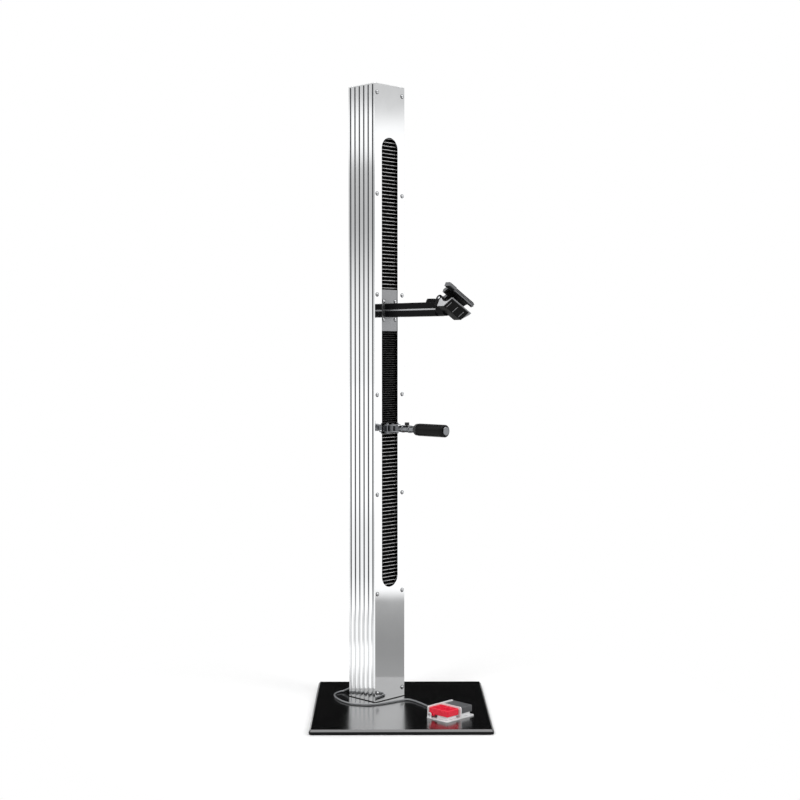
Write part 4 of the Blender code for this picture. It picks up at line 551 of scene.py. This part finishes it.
def black_nylon():
    """Black glass-filled nylon: satin, slightly mottled."""
    return surface("black_nylon", tint("nylon"), patches=(8, 0.25), grain=(0.35, 0.35, 0.35),
                   rough=(0.34, 0.46), bump=0.012, edge=(0.3, "#55565A", 0.4))


def light_paint():
    """Light grey powder coat over bent sheet steel: a fine even texture, bright along its edges,
    partly wear and partly a painted highlight.
    """
    return surface("light_grey_powder_coat", tint("paint"), patches=(30, 0.05),
                   grain=(0.8, 0.8, 0.8), rough=(0.24, 0.34), bump=0.012,
                   edge=(0.5, "#FFFFFF", 0.5))


def pleated_sheet(name, reach, most):
    """Coated bellows sheet: black, with a painted highlight, nearly white, over the reach, in
    millimetres, along the folds' crests, at most as far as the share says."""
    made, tree = blank(name)
    place = node(tree, "TexCoord").outputs["Object"]
    weave = mottle(tree, place, (0.6, 0.6, 0.6), detail=2.0)
    cloud = mottle(tree, place, (22, 22, 9), detail=3.0)
    # Painted highlight along the folds' crests, by depth in the column's frame
    crest = node(tree, "MapRange", {"Value": in_column(tree)[1],
                                    "From Min": BELLOWS_FRONT + mm(reach),
                                    "From Max": BELLOWS_FRONT + mm(reach * CREST_HIGHLIGHT_FULL)})
    amount = node(tree, "MapRange", {"Value": cloud, "From Min": CREST_HIGHLIGHT_SPAN[0],
                                     "From Max": CREST_HIGHLIGHT_SPAN[1], "To Min": most * CREST_HIGHLIGHT_LEAST,
                                     "To Max": most})
    share = node(tree, "Math", {0: crest, 1: amount}, operation="MULTIPLY")
    tone = node(tree, "Mix", {0: share, 6: (*tint("sheet"), 1), 7: (*tint("crest"), 1)},
                data_type="RGBA")
    dull = node(tree, "MapRange", {"Value": weave, "To Min": 0.38, "To Max": 0.55})
    relief = node(tree, "Bump", {"Height": weave, "Distance": mm(0.03)})
    shader = node(tree, "BsdfPrincipled", {"Base Color": tone, "Roughness": dull, "Normal": relief,
                                           "Specular IOR Level": 0.08})
    node(tree, "OutputMaterial", {"Surface": shader})
    return made


def stretched_sheet():
    """The stretched bellows: their folds stand open, and a broad painted highlight lies along each
    crest.
    """
    return pleated_sheet("coated_bellows_sheet", reach=2.2, most=0.8)


def packed_sheet():
    """The bellows between the brackets: packed tight, with a thin, faint painted highlight along
    the crests.
    """
    return pleated_sheet("packed_bellows_sheet", reach=2.0, most=0.14)


def material(finish):
    """The material of a finish, made once."""
    if finish.__name__ not in MADE:
        MADE[finish.__name__] = finish()
    return MADE[finish.__name__]


NODE_FINISH = {
    fluted_aluminium: ("side_profile_left", "side_profile_right"),
    brushed_aluminium: ("front_plate", "back_plate", "top_cap", "carriage_plate"),
    blasted_plate: ("lower_jaw",),
    turned_steel: ("lower_bracket", "support_tube", "support_rod"),
    blasted_aluminium: ("foot_block", "drive_block", "head_block", "shaft_coupling",
                        "motor_mount", "gearbox", "upper_bush_block", "lower_bush_block",
                        "arm_flange"),
    hard_anodised: ("upper_jaw",),
    ground_steel: ("front_strip_left", "front_strip_right", "guide_shaft_left",
                   "guide_shaft_right", "screw_bearing_low", "screw_bearing_top", "lead_screw",
                   "jaw_pin", "clamp_rod", "pedal_pin"),
    bearing_bronze: ("lift_nut",),
    gloss_enamel: ("base_plate",),
    satin_coating: ("motor", "arm_channel", "arm_cover", "clamp_lever", "clamp_head"),
    moulded_rubber: ("rubber_mat", "lower_jaw_cover", "lower_jaw_pad", "upper_jaw_pad",
                     "support_roller", "foot_cable", "bellows_upper", "bellows_middle",
                     "bellows_lower"),
    crimson_plastic: ("red_pedal",),
    grey_plastic: ("grey_pedal", "control_box"),
    light_plastic: ("red_switch_block", "grey_switch_block"),
    black_nylon: ("power_entry", "power_rocker", "limit_switch_top", "limit_switch_low",
                  "support_knob", "guard_gland", "column_gland"),
    light_paint: ("foot_guard",),
}

# How wide the edges of a finish's rounded copies are
EDGE_ROUND = {
    blasted_plate: 0.0006, turned_steel: 0.0003, blasted_aluminium: 0.0005, hard_anodised: 0.0006,
    gloss_enamel: 0.0012, satin_coating: 0.0006, moulded_rubber: 0.0006, crimson_plastic: 0.0008,
    grey_plastic: 0.0008, light_plastic: 0.0006, black_nylon: 0.0004, light_paint: 0.0008,
}


def piece(name, shape, finish, body, stands_for=(), smooth=40):
    """Turns a bmesh into a finished piece that rides on a body and stands for CAD nodes."""
    mesh = bpy.data.meshes.new(name)
    shape.to_mesh(mesh)
    shape.free()
    mesh.materials.append(material(finish))
    mesh.shade_smooth()
    mesh.set_sharp_from_angle(angle=math.radians(smooth))
    made = bpy.data.objects.new(name, mesh)
    bpy.context.scene.collection.objects.link(made)
    if body:
        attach(made, body)
    if stands_for:
        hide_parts(*stands_for)
    return made


def lathe(profile, place, steps):
    """Turns an outline of (radius, height) about Z, then places it."""
    shape = bmesh.new()
    points = [shape.verts.new((radius, 0, height)) for radius, height in profile]
    edges = [shape.edges.new(pair) for pair in zip(points, points[1:])]
    bmesh.ops.spin(shape, geom=points + edges, cent=(0, 0, 0), axis=(0, 0, 1), steps=steps,
                   angle=2 * math.pi, use_merge=True)
    bmesh.ops.remove_doubles(shape, verts=shape.verts, dist=SAME_POINT)
    bmesh.ops.recalc_face_normals(shape, faces=shape.faces)
    bmesh.ops.transform(shape, matrix=place, verts=shape.verts)
    return shape


def together(shapes):
    """Several bmeshes in one."""
    whole = bmesh.new()
    for shape in shapes:
        scratch = bpy.data.meshes.new("scratch")
        shape.to_mesh(scratch)
        shape.free()
        whole.from_mesh(scratch)
        bpy.data.meshes.remove(scratch)
    return whole


def bar(size, edge, place):
    """A bar with rounded edges about the place's origin."""
    shape = bmesh.new()
    bmesh.ops.create_cube(shape, size=1.0)
    bmesh.ops.scale(shape, vec=size, verts=shape.verts)
    bmesh.ops.bevel(shape, geom=list(shape.edges), offset=edge, affect="EDGES", segments=2,
                    profile=0.5, material=-1)
    bmesh.ops.transform(shape, matrix=place, verts=shape.verts)
    return shape


def rounded_copy(name):
    """A copy of a CAD node with its sharp edges rounded, which stands for it."""
    source = frame["nodes"][name]
    finish = next(finish for finish, names in NODE_FINISH.items() if name in names)
    shape = bmesh.new()
    shape.from_mesh(source.data)
    bmesh.ops.remove_doubles(shape, verts=shape.verts, dist=SAME_POINT)
    bmesh.ops.dissolve_limit(shape, angle_limit=FLAT, verts=shape.verts, edges=shape.edges)
    sharp = [edge for edge in shape.edges
             if edge.is_manifold and edge.calc_face_angle(0.0) > SHARP]
    bmesh.ops.bevel(shape, geom=sharp, offset=EDGE_ROUND[finish], affect="EDGES", segments=2,
                    profile=0.5, material=-1, clamp_overlap=True)
    made = piece(name + "_rounded", shape, finish, source["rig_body"], [name], smooth=50)
    made.modifiers.new("flat faces stay flat", "WEIGHTED_NORMAL").keep_sharp = True
    return made


def make_pleats(name, node_name, pitch, low_body, high_body):
    """The pleated sheet behind the slot, from the bottom frame of its CAD node to the top one."""
    sizes = bpy.context.scene.stand_sizes
    low, high = (corner.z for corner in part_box(node_name))
    tall = high - low - 2 * BELLOWS_RIM
    folds = round(tall / pitch)
    valley = BELLOWS_FRONT + sizes.fold_depth
    outline = [(valley, low)]
    for index in range(2 * folds + 1):
        height = low + BELLOWS_RIM + index * tall / (2 * folds)
        outline.append((valley if index % 2 else BELLOWS_FRONT, height))
    outline.append((valley, high))
    shape = bmesh.new()
    points = [shape.verts.new((-BELLOWS_W / 2, y, height)) for y, height in outline]
    edges = [shape.edges.new(pair) for pair in zip(points, points[1:])]
    grown = bmesh.ops.extrude_edge_only(shape, edges=edges)["geom"]
    moved = [item for item in grown if isinstance(item, bmesh.types.BMVert)]
    bmesh.ops.translate(shape, verts=moved, vec=(BELLOWS_W, 0, 0))
    bends = [edge for edge in shape.edges if len(edge.link_faces) == 2
             and abs(edge.verts[0].co.x - edge.verts[1].co.x) > BELLOWS_W / 2]
    bmesh.ops.bevel(shape, geom=bends, offset=FOLD_EDGE, affect="EDGES", segments=2, profile=0.5,
                    material=-1)
    bmesh.ops.recalc_face_normals(shape, faces=shape.faces)
    if sum(face.normal.y for face in shape.faces) > 0:
        bmesh.ops.reverse_faces(shape, faces=shape.faces)
    bmesh.ops.solidify(shape, geom=list(shape.faces), thickness=sizes.sheet)
    bmesh.ops.transform(shape, matrix=COLUMN, verts=shape.verts)
    same = low_body == high_body
    made = piece(name, shape, packed_sheet if same else stretched_sheet, low_body if same else None,
                 [node_name], smooth=60)
    if not same:
        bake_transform(made)
    return made


def make_trim():
    """The light beads in the arm's two seams, and the bars in the lower cover's three slots."""
    start, end = FLANGE_FACE - SEAM_GAP, FRONT_Y - ARM_OUT
    beads = [bar((SEAM_W, start - end, SEAM_H), SEAM_EDGE,
                 COLUMN @ Matrix.Translation((x, (start + end) / 2, ARM_Z)))
             for x in (-SEAM_X, SEAM_X)]
    piece("arm_seam_beads", together(beads), blasted_plate, "carriage")
    along = Vector((0, -RIM_OUT, JAW_FOOT - LIP_DROP)).normalized()
    outward = Vector((0, -along.z, along.y))
    middle = Vector((0, 0, TUBE_RISE - JAW_FOOT)) + along * SLOT_ALONG + outward * SLOT_OUT
    turn = Matrix((Vector((1, 0, 0)), along, outward)).transposed().to_4x4()
    bars = [bar(SLOT_BAR, SLOT_EDGE,
                CLAMP @ Matrix.Translation(middle + Vector((x, 0, 0))) @ turn)
            for x in SLOT_X]
    piece("cover_slot_bars", together(bars), blasted_plate, "clamp")


def make_foot_shade_bead():
    """A dark bead round the column's foot, on the base plate: a dark piece that stands in for the
    shade where the column meets the plate.
    """
    inset = FOOT_BEAD_W / 2 - FOOT_BEAD_PROUD
    height = PLATE_TOP + FOOT_BEAD_H / 2
    sides = []
    for way in (-1, 1):
        beside = COLUMN @ Matrix.Translation((way * (COLUMN_W / 2 - inset), 0, height))
        before = COLUMN @ Matrix.Translation((0, way * (BACK_Y - inset), height))
        sides.append(bar((FOOT_BEAD_W, 2 * (BACK_Y + FOOT_BEAD_PROUD), FOOT_BEAD_H), FOOT_BEAD_EDGE, beside))
        sides.append(bar((COLUMN_W - 2 * (FOOT_BEAD_W - FOOT_BEAD_PROUD), FOOT_BEAD_W, FOOT_BEAD_H), FOOT_BEAD_EDGE, before))
    piece("column_foot_seal", together(sides), moulded_rubber, "column")


def screw_head(place, socket=True):
    """A dome head with a hexagon socket, which stands on the place's z = 0."""
    grow = bpy.context.scene.stand_sizes.head / HEAD_R
    dome = [(5.55, 0), (5.55, 0.7), (5.45, 1.1), (5.2, 1.65), (4.8, 2.25), (4.0, 2.78),
            (3.0, 3.14), (2.2, 3.33)]
    inside = [(1.85, 3.35), (1.6, 3.2), (1.6, 1.85), (0, 1.80)] if socket else [(0, 3.35)]
    shape = lathe([(grow * mm(radius), mm(height)) for radius, height in dome + inside],
                  Matrix(), HEAD_STEPS)
    # The round inside becomes a hexagon
    for spot in shape.verts:
        if mm(0.5) < spot.co.to_2d().length < mm(1.7) * grow:
            angle = math.atan2(spot.co.y, spot.co.x) % math.radians(60)
            side = math.cos(math.radians(30)) / math.cos(angle - math.radians(30))
            spot.co = (spot.co.x * side, spot.co.y * side, spot.co.z)
    bmesh.ops.transform(shape, matrix=place, verts=shape.verts)
    return shape


def make_screws(name, body, places, socket=True):
    """Finer dome heads over the CAD's, each on a thin black ring, a dark piece that stands in for
    the shade round the head.
    """
    ring = [(0.0056, 0.0), (0.0069, 0.0), (0.0071, 0.0003), (0.0069, 0.0007), (0.0056, 0.0007),
            (0.0056, 0.0)]
    heads = together([screw_head(place, socket) for place in places])
    piece(name + "_heads", heads, ground_steel, body, smooth=38)
    # Dark rings round the heads: painted shade
    shade_rings = together([lathe(ring, place, HEAD_STEPS) for place in places])
    piece(name + "_washers", shade_rings, black_nylon, body, smooth=38)


def make_roller():
    """The rest's rubber roller with two rings near each end, the skin of the tube that carries
    it, with two collars, and the black cone between them."""
    low, high = ROLLER_ENDS
    deep = ROLLER_R - GROOVE_DEPTH
    half = [(ROLLER_R - 0.0018, 0), (deep, 0.0004), (ROLLER_R, 0.0014)]
    for start in GROOVES:
        half += [(ROLLER_R, start), (deep, start + 0.0004), (deep, start + 0.0014),
                 (ROLLER_R, start + 0.0018)]
    profile = [(ROLLER_BORE, low)] + [(radius, low + along) for radius, along in half]
    profile += [(radius, high - along) for radius, along in reversed(half)]
    profile += [(ROLLER_BORE, high), (ROLLER_BORE, low)]
    piece("ringed_roller", lathe(profile, REST, ROLLER_STEPS), roller_rubber, "roller",
          ["support_roller"], smooth=35)
    tube = [(0.0100, 0.0475), (TUBE_R, 0.0484)]
    for near, far in COLLARS:
        tube += [(TUBE_R, near), (COLLAR_R - 0.0002, near), (COLLAR_R, near + 0.0003),
                 (COLLAR_R, far - 0.0003), (COLLAR_R - 0.0002, far), (TUBE_R, far)]
    tube += [(TUBE_R, 0.1131), (0.0100, 0.11405), (0.0080, 0.11405)]
    piece("rest_tube_skin", lathe(tube, REST, ROLLER_STEPS), turned_steel, "rest",
          smooth=35)
    cone = [(0.0076, 0.1168), (0.0130, 0.1168), (0.0137, 0.1171), (0.0184, 0.1226),
            (0.0187, 0.1235), (0.0187, 0.1305), (0.0183, 0.1316), (0.0076, 0.1316)]
    piece("roller_cone", lathe(cone, REST, ROLLER_STEPS), black_nylon, "rest_rod",
          smooth=35)


def cable_points():
    """The cable's line from one gland to the other: a smooth curve through its route."""
    leaving = [COLUMN @ (COLUMN_GLAND + out) for out in (GLAND_END, CABLE_STUB)]
    arriving = [SWITCH @ (GUARD_GLAND + out) for out in (CABLE_STUB, GLAND_END)]
    route = leaving + [Vector(spot) for spot in CABLE_MIDDLE] + arriving
    line = [route[0]]
    for index in range(1, len(route) - 2):
        before, start, end, after = route[index - 1:index + 3]
        for part in range(CABLE_STEPS):
            share = part / CABLE_STEPS
            line.append(0.5 * (2 * start + (end - before) * share
                               + (2 * before - 5 * start + 4 * end - after) * share ** 2
                               + (3 * start - before - 3 * end + after) * share ** 3))
    return line + route[-2:]


def make_cable():
    """The foot switch's cable, which lies on the base plate between its two glands."""
    points = cable_points()
    curve = bpy.data.curves.new("switch_cable", "CURVE")
    curve.dimensions = "3D"
    curve.bevel_depth = bpy.context.scene.stand_sizes.cable / 2
    curve.bevel_resolution = 4
    curve.use_fill_caps = True
    line = curve.splines.new("POLY")
    line.points.add(len(points) - 1)
    for knot, spot in zip(line.points, points):
        knot.co = (*spot, 1)
    curve.materials.append(material(cable_jacket))
    made = bpy.data.objects.new("switch_cable", curve)
    bpy.context.scene.collection.objects.link(made)
    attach(made, "column")
    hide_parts("foot_cable")
    return made


def make_camera():
    """The camera, at the photo's place, angle and lens."""
    data = bpy.data.cameras.new("camera")
    data.lens = CAMERA_LENS
    data.sensor_width = CAMERA_SENSOR
    made = bpy.data.objects.new("camera", data)
    made.location = CAMERA_AT
    made.rotation_euler = (CAMERA_PITCH, 0, CAMERA_PAN)
    bpy.context.scene.collection.objects.link(made)
    bpy.context.scene.camera = made


def around(tree, way, right, left, grey, turn):
    """Brightness by direction: right and left of the stand, and grey in front and behind, which
    takes over as the direction's depth passes the turn."""
    side = node(tree, "MapRange", {"Value": way[0], "From Min": SIDE_TURN[0],
                                   "From Max": SIDE_TURN[1]})
    sides = node(tree, "Mix", {0: side, 6: left, 7: right}, data_type="RGBA")
    depth = node(tree, "Math", {0: way[1]}, operation="ABSOLUTE")
    turned = node(tree, "MapRange", {"Value": depth, "From Min": turn[0], "From Max": turn[1]})
    return node(tree, "Mix", {0: turned, 6: sides, 7: grey}, data_type="RGBA")


def make_world():
    """White to the camera. Polished metal sees a room: white to either side, with grey bands above
    the horizon, grey in between, dark low behind, and a bright soft box overhead."""
    world = bpy.data.worlds.new("studio")
    bpy.context.scene.world = world
    world.use_nodes = True
    tree = world.node_tree
    tree.nodes.clear()
    way = node(tree, "SeparateXYZ", {0: node(tree, "TexCoord").outputs["Generated"]}).outputs
    height = node(tree, "MapRange", {"Value": way[2], "From Min": -WALL_REACH,
                                     "From Max": WALL_REACH})
    right, left, grey = [node(tree, "ValToRGB", {"Fac": height}, stops)
                         for stops in (RIGHT_WALL, LEFT_WALL, GREY_WALL)]
    walls = around(tree, way, right, left, grey, WALL_TURN)
    behind = node(tree, "MapRange", {"Value": way[1], "From Min": BEHIND[0],
                                     "From Max": BEHIND[1]})
    light = node(tree, "ValToRGB", {"Fac": way[2]}, LIGHT_BEHIND)
    shade = node(tree, "MapRange", {"Value": behind, "To Min": 1.0, "To Max": light})
    lit = node(tree, "Mix", {0: shade, 6: even(DARK), 7: walls}, data_type="RGBA")
    above = node(tree, "MapRange", {"Value": way[2], "From Min": OVERHEAD[0],
                                    "From Max": OVERHEAD[1]})
    room = node(tree, "Mix", {0: above, 6: lit, 7: even(SOFT_BOX)}, data_type="RGBA")
    path = node(tree, "LightPath").outputs
    seen = node(tree, "Mix", {0: path["Is Glossy Ray"], 6: even(AMBIENT), 7: room},
                data_type="RGBA")
    plain = node(tree, "Math", {0: path["Is Camera Ray"], 1: path["Is Transmission Ray"]},
                 operation="MAXIMUM")
    whole = node(tree, "Mix", {0: plain, 6: seen, 7: even(WHITE)}, data_type="RGBA")
    back = node(tree, "Background", {"Color": whole, "Strength": ROOM_LEVEL})
    node(tree, "OutputWorld", {"Surface": back})


def studio_floor():
    """Pale paper: takes the shadow near the stand and is plain white further out. Polished metal
    sees it grey on the right up to 2 m away, pale on the left, and grey in front and behind."""
    made, tree = blank("pale_paper_floor")
    place = node(tree, "TexCoord").outputs["Object"]
    far = node(tree, "VectorMath", {0: place}, operation="LENGTH")
    away = node(tree, "MapRange", {"Value": far, "From Min": SHADOW_FADE[0],
                                   "From Max": SHADOW_FADE[1]})
    speck = mottle(tree, place, (3, 3, 3), detail=2.0)
    tone = node(tree, "MapRange", {"Value": speck, "To Min": 0.97, "To Max": 1.0})
    paper = node(tree, "BsdfDiffuse", {"Color": tone})
    white = node(tree, "Emission", {"Color": even(1.0), "Strength": 1.0})
    near = node(tree, "MixShader", {0: away, 1: paper, 2: white})
    toward = node(tree, "VectorMath", {0: place}, operation="NORMALIZE")
    way = node(tree, "SeparateXYZ", {0: toward}).outputs
    share = node(tree, "MapRange", {"Value": far, "From Max": FLOOR_REACH})
    right, pale, slanted, grey = [node(tree, "ValToRGB", {"Fac": share}, stops) for stops in
                                  (RIGHT_FLOOR, LEFT_FLOOR, SLANTED_FLOOR, GREY_FLOOR)]
    slanting = node(tree, "MapRange", {"Value": way[1], "From Min": FLOOR_SLANT[0],
                                       "From Max": FLOOR_SLANT[1]})
    left = node(tree, "Mix", {0: slanting, 6: pale, 7: slanted}, data_type="RGBA",
                blend_type="MULTIPLY")
    whole = around(tree, way, right, left, grey, FLOOR_TURN)
    seen = node(tree, "Emission", {"Color": whole, "Strength": ROOM_LEVEL})
    mirrored = node(tree, "LightPath").outputs["Is Glossy Ray"]
    final = node(tree, "MixShader", {0: mirrored, 1: near, 2: seen})
    node(tree, "OutputMaterial", {"Surface": final})
    return made


def make_floor():
    """The paper floor, a wide disc."""
    shape = bmesh.new()
    bmesh.ops.create_circle(shape, cap_ends=True, segments=96, radius=FLOOR_R)
    mesh = bpy.data.meshes.new("floor")
    shape.to_mesh(mesh)
    shape.free()
    mesh.materials.append(studio_floor())
    made = bpy.data.objects.new("floor", mesh)
    bpy.context.scene.collection.objects.link(made)


def make_lamp(name, place, power):
    """A soft round lamp, aimed at the stand's middle and left out of reflections."""
    data = bpy.data.lights.new(name, "AREA")
    data.shape = "DISK"
    data.size = LAMP_SIZE
    data.energy = power
    made = bpy.data.objects.new(name, data)
    made.location = place
    made.rotation_euler = (LAMP_TARGET - Vector(place)).to_track_quat("-Z", "Y").to_euler()
    made.visible_glossy = False
    bpy.context.scene.collection.objects.link(made)


class StandStage(Operator):
    """Sets the camera, the white studio, its floor and its soft lamps"""
    bl_idname = "stand.stage"
    bl_label = "Stage"

    def execute(self, context):
        make_camera()
        make_world()
        make_floor()
        for name, (place, power) in LAMPS.items():
            make_lamp(name, place, power)
        return {"FINISHED"}


class StandCable(Operator):
    """Lays the foot switch's cable"""
    bl_idname = "stand.cable"
    bl_label = "Cable"

    def execute(self, context):
        make_cable()
        return {"FINISHED"}


class StandFinishNodes(Operator):
    """Gives every CAD node its finish"""
    bl_idname = "stand.finish_nodes"
    bl_label = "Node finishes"

    def execute(self, context):
        for finish, names in NODE_FINISH.items():
            for name in names:
                slots = frame["nodes"][name].data.materials
                slots.clear()
                slots.append(material(finish))
        return {"FINISHED"}


class StandBellows(Operator):
    """Folds the three bellows behind the slot"""
    bl_idname = "stand.bellows"
    bl_label = "Bellows"

    def execute(self, context):
        sizes = context.scene.stand_sizes
        make_pleats("upper_pleats", "bellows_upper", sizes.fold_pitch, "carriage", "column")
        make_pleats("middle_pleats", "bellows_middle", sizes.packed_pitch, "carriage", "carriage")
        make_pleats("lower_pleats", "bellows_lower", sizes.fold_pitch, "column", "carriage")
        return {"FINISHED"}


class StandScrews(Operator):
    """Sets the dome screws on the front, the back, the cap and the flange"""
    bl_idname = "stand.screws"
    bl_label = "Dome screws"

    def execute(self, context):
        pitch = (SCREW_LAST - SCREW_FIRST) / (SCREW_COUNT - 1)
        spots = [(x, SCREW_FIRST + index * pitch) for x in (-SCREW_X, SCREW_X)
                 for index in range(SCREW_COUNT)]
        forward = Matrix.Rotation(math.pi / 2, 4, "X")
        make_screws("front_screw", "column",
                    [COLUMN @ Matrix.Translation((x, FRONT_Y - GAP, z)) @ forward
                     for x, z in spots])
        make_screws("back_screw", "column",
                    [COLUMN @ Matrix.Translation((x, BACK_Y, z)) @ forward.inverted()
                     for x, z in spots], socket=False)
        make_screws("cap_screw", "column",
                    [COLUMN @ Matrix.Translation((x, y, COLUMN_TOP - CAP_SCREW_SINK))
                     for x in (-SCREW_X, SCREW_X) for y in CAP_SCREW_Y])
        make_screws("flange_screw", "carriage",
                    [COLUMN @ Matrix.Translation((x, FLANGE_FACE, ARM_Z + z)) @ forward
                     for x in (-FLANGE_SCREW_X, FLANGE_SCREW_X)
                     for z in (-FLANGE_SCREW_Z, FLANGE_SCREW_Z)])
        return {"FINISHED"}


class StandRoller(Operator):
    """Turns the lower rest's roller, its tube and its cone"""
    bl_idname = "stand.roller"
    bl_label = "Roller"

    def execute(self, context):
        make_roller()
        return {"FINISHED"}


class StandJaws(Operator):
    """Rounds the clamp's jaws, their rubber and the arm, and adds the fine trim"""
    bl_idname = "stand.jaws"
    bl_label = "Jaws and arm"

    def execute(self, context):
        for name in ("lower_jaw_cover", "lower_jaw_pad", "upper_jaw_pad"):
            rounded_copy(name)
        # The black cover reaches round the lower jaw's underside
        jaw = rounded_copy("lower_jaw")
        jaw.data.materials.append(material(moulded_rubber))
        under = -CLAMP.to_3x3().col[2]
        for face in jaw.data.polygons:
            face.material_index = int(face.normal.dot(under) > UNDERSIDE)
        for name in ("upper_jaw", "clamp_head", "clamp_lever", "arm_channel", "arm_cover"):
            rounded_copy(name)
        make_trim()
        return {"FINISHED"}


class StandSwitch(Operator):
    """Rounds the foot switch's guard and pedals, and the mat under the base plate"""
    bl_idname = "stand.switch"
    bl_label = "Foot switch"

    def execute(self, context):
        for name in ("foot_guard", "red_pedal", "grey_pedal", "rubber_mat"):
            rounded_copy(name)
        return {"FINISHED"}


class StandFittings(Operator):
    """Rounds the glands, the inlet, the thumb screw, the sealed switches, the brackets and the
    base plate, and lays a dark bead round the column's foot, painted shade where it meets the plate"""
    bl_idname = "stand.fittings"
    bl_label = "Fittings"

    def execute(self, context):
        for name in ("column_gland", "guard_gland", "support_knob", "power_entry", "power_rocker",
                     "red_switch_block", "grey_switch_block", "lower_bracket", "arm_flange",
                     "base_plate"):
            rounded_copy(name)
        make_foot_shade_bead()
        return {"FINISHED"}


OPERATORS = (StandStage, StandCable, StandFinishNodes, StandBellows, StandScrews, StandRoller,
             StandJaws, StandSwitch, StandFittings)


class StandPanel(Panel):
    """Lists the stand's pieces, sizes and colours"""
    bl_idname = "VIEW3D_PT_lift_stand"
    bl_label = "Lift stand"
    bl_space_type = "VIEW_3D"
    bl_region_type = "UI"
    bl_category = "Lift stand"

    def draw(self, context):
        for made in OPERATORS:
            self.layout.operator(made.bl_idname)
        for group in (context.scene.stand_sizes, context.scene.stand_finishes):
            for name in group.__annotations__:
                self.layout.prop(group, name)


CLASSES = (StandFinishes, StandSizes, *OPERATORS, StandPanel)


def register():
    for each in CLASSES:
        bpy.utils.register_class(each)
    bpy.types.Scene.stand_finishes = PointerProperty(type=StandFinishes)
    bpy.types.Scene.stand_sizes = PointerProperty(type=StandSizes)


def unregister():
    del bpy.types.Scene.stand_sizes
    del bpy.types.Scene.stand_finishes
    for each in reversed(CLASSES):
        bpy.utils.unregister_class(each)


def main():
    """Makes every piece in order."""
    register()
    bpy.context.scene.view_settings.view_transform = "Standard"
    bpy.ops.stand.stage()
    bpy.ops.stand.cable()
    bpy.ops.stand.finish_nodes()
    bpy.ops.stand.bellows()
    bpy.ops.stand.screws()
    bpy.ops.stand.roller()
    bpy.ops.stand.jaws()
    bpy.ops.stand.switch()
    bpy.ops.stand.fittings()


if __name__ == "__main__":
    main()
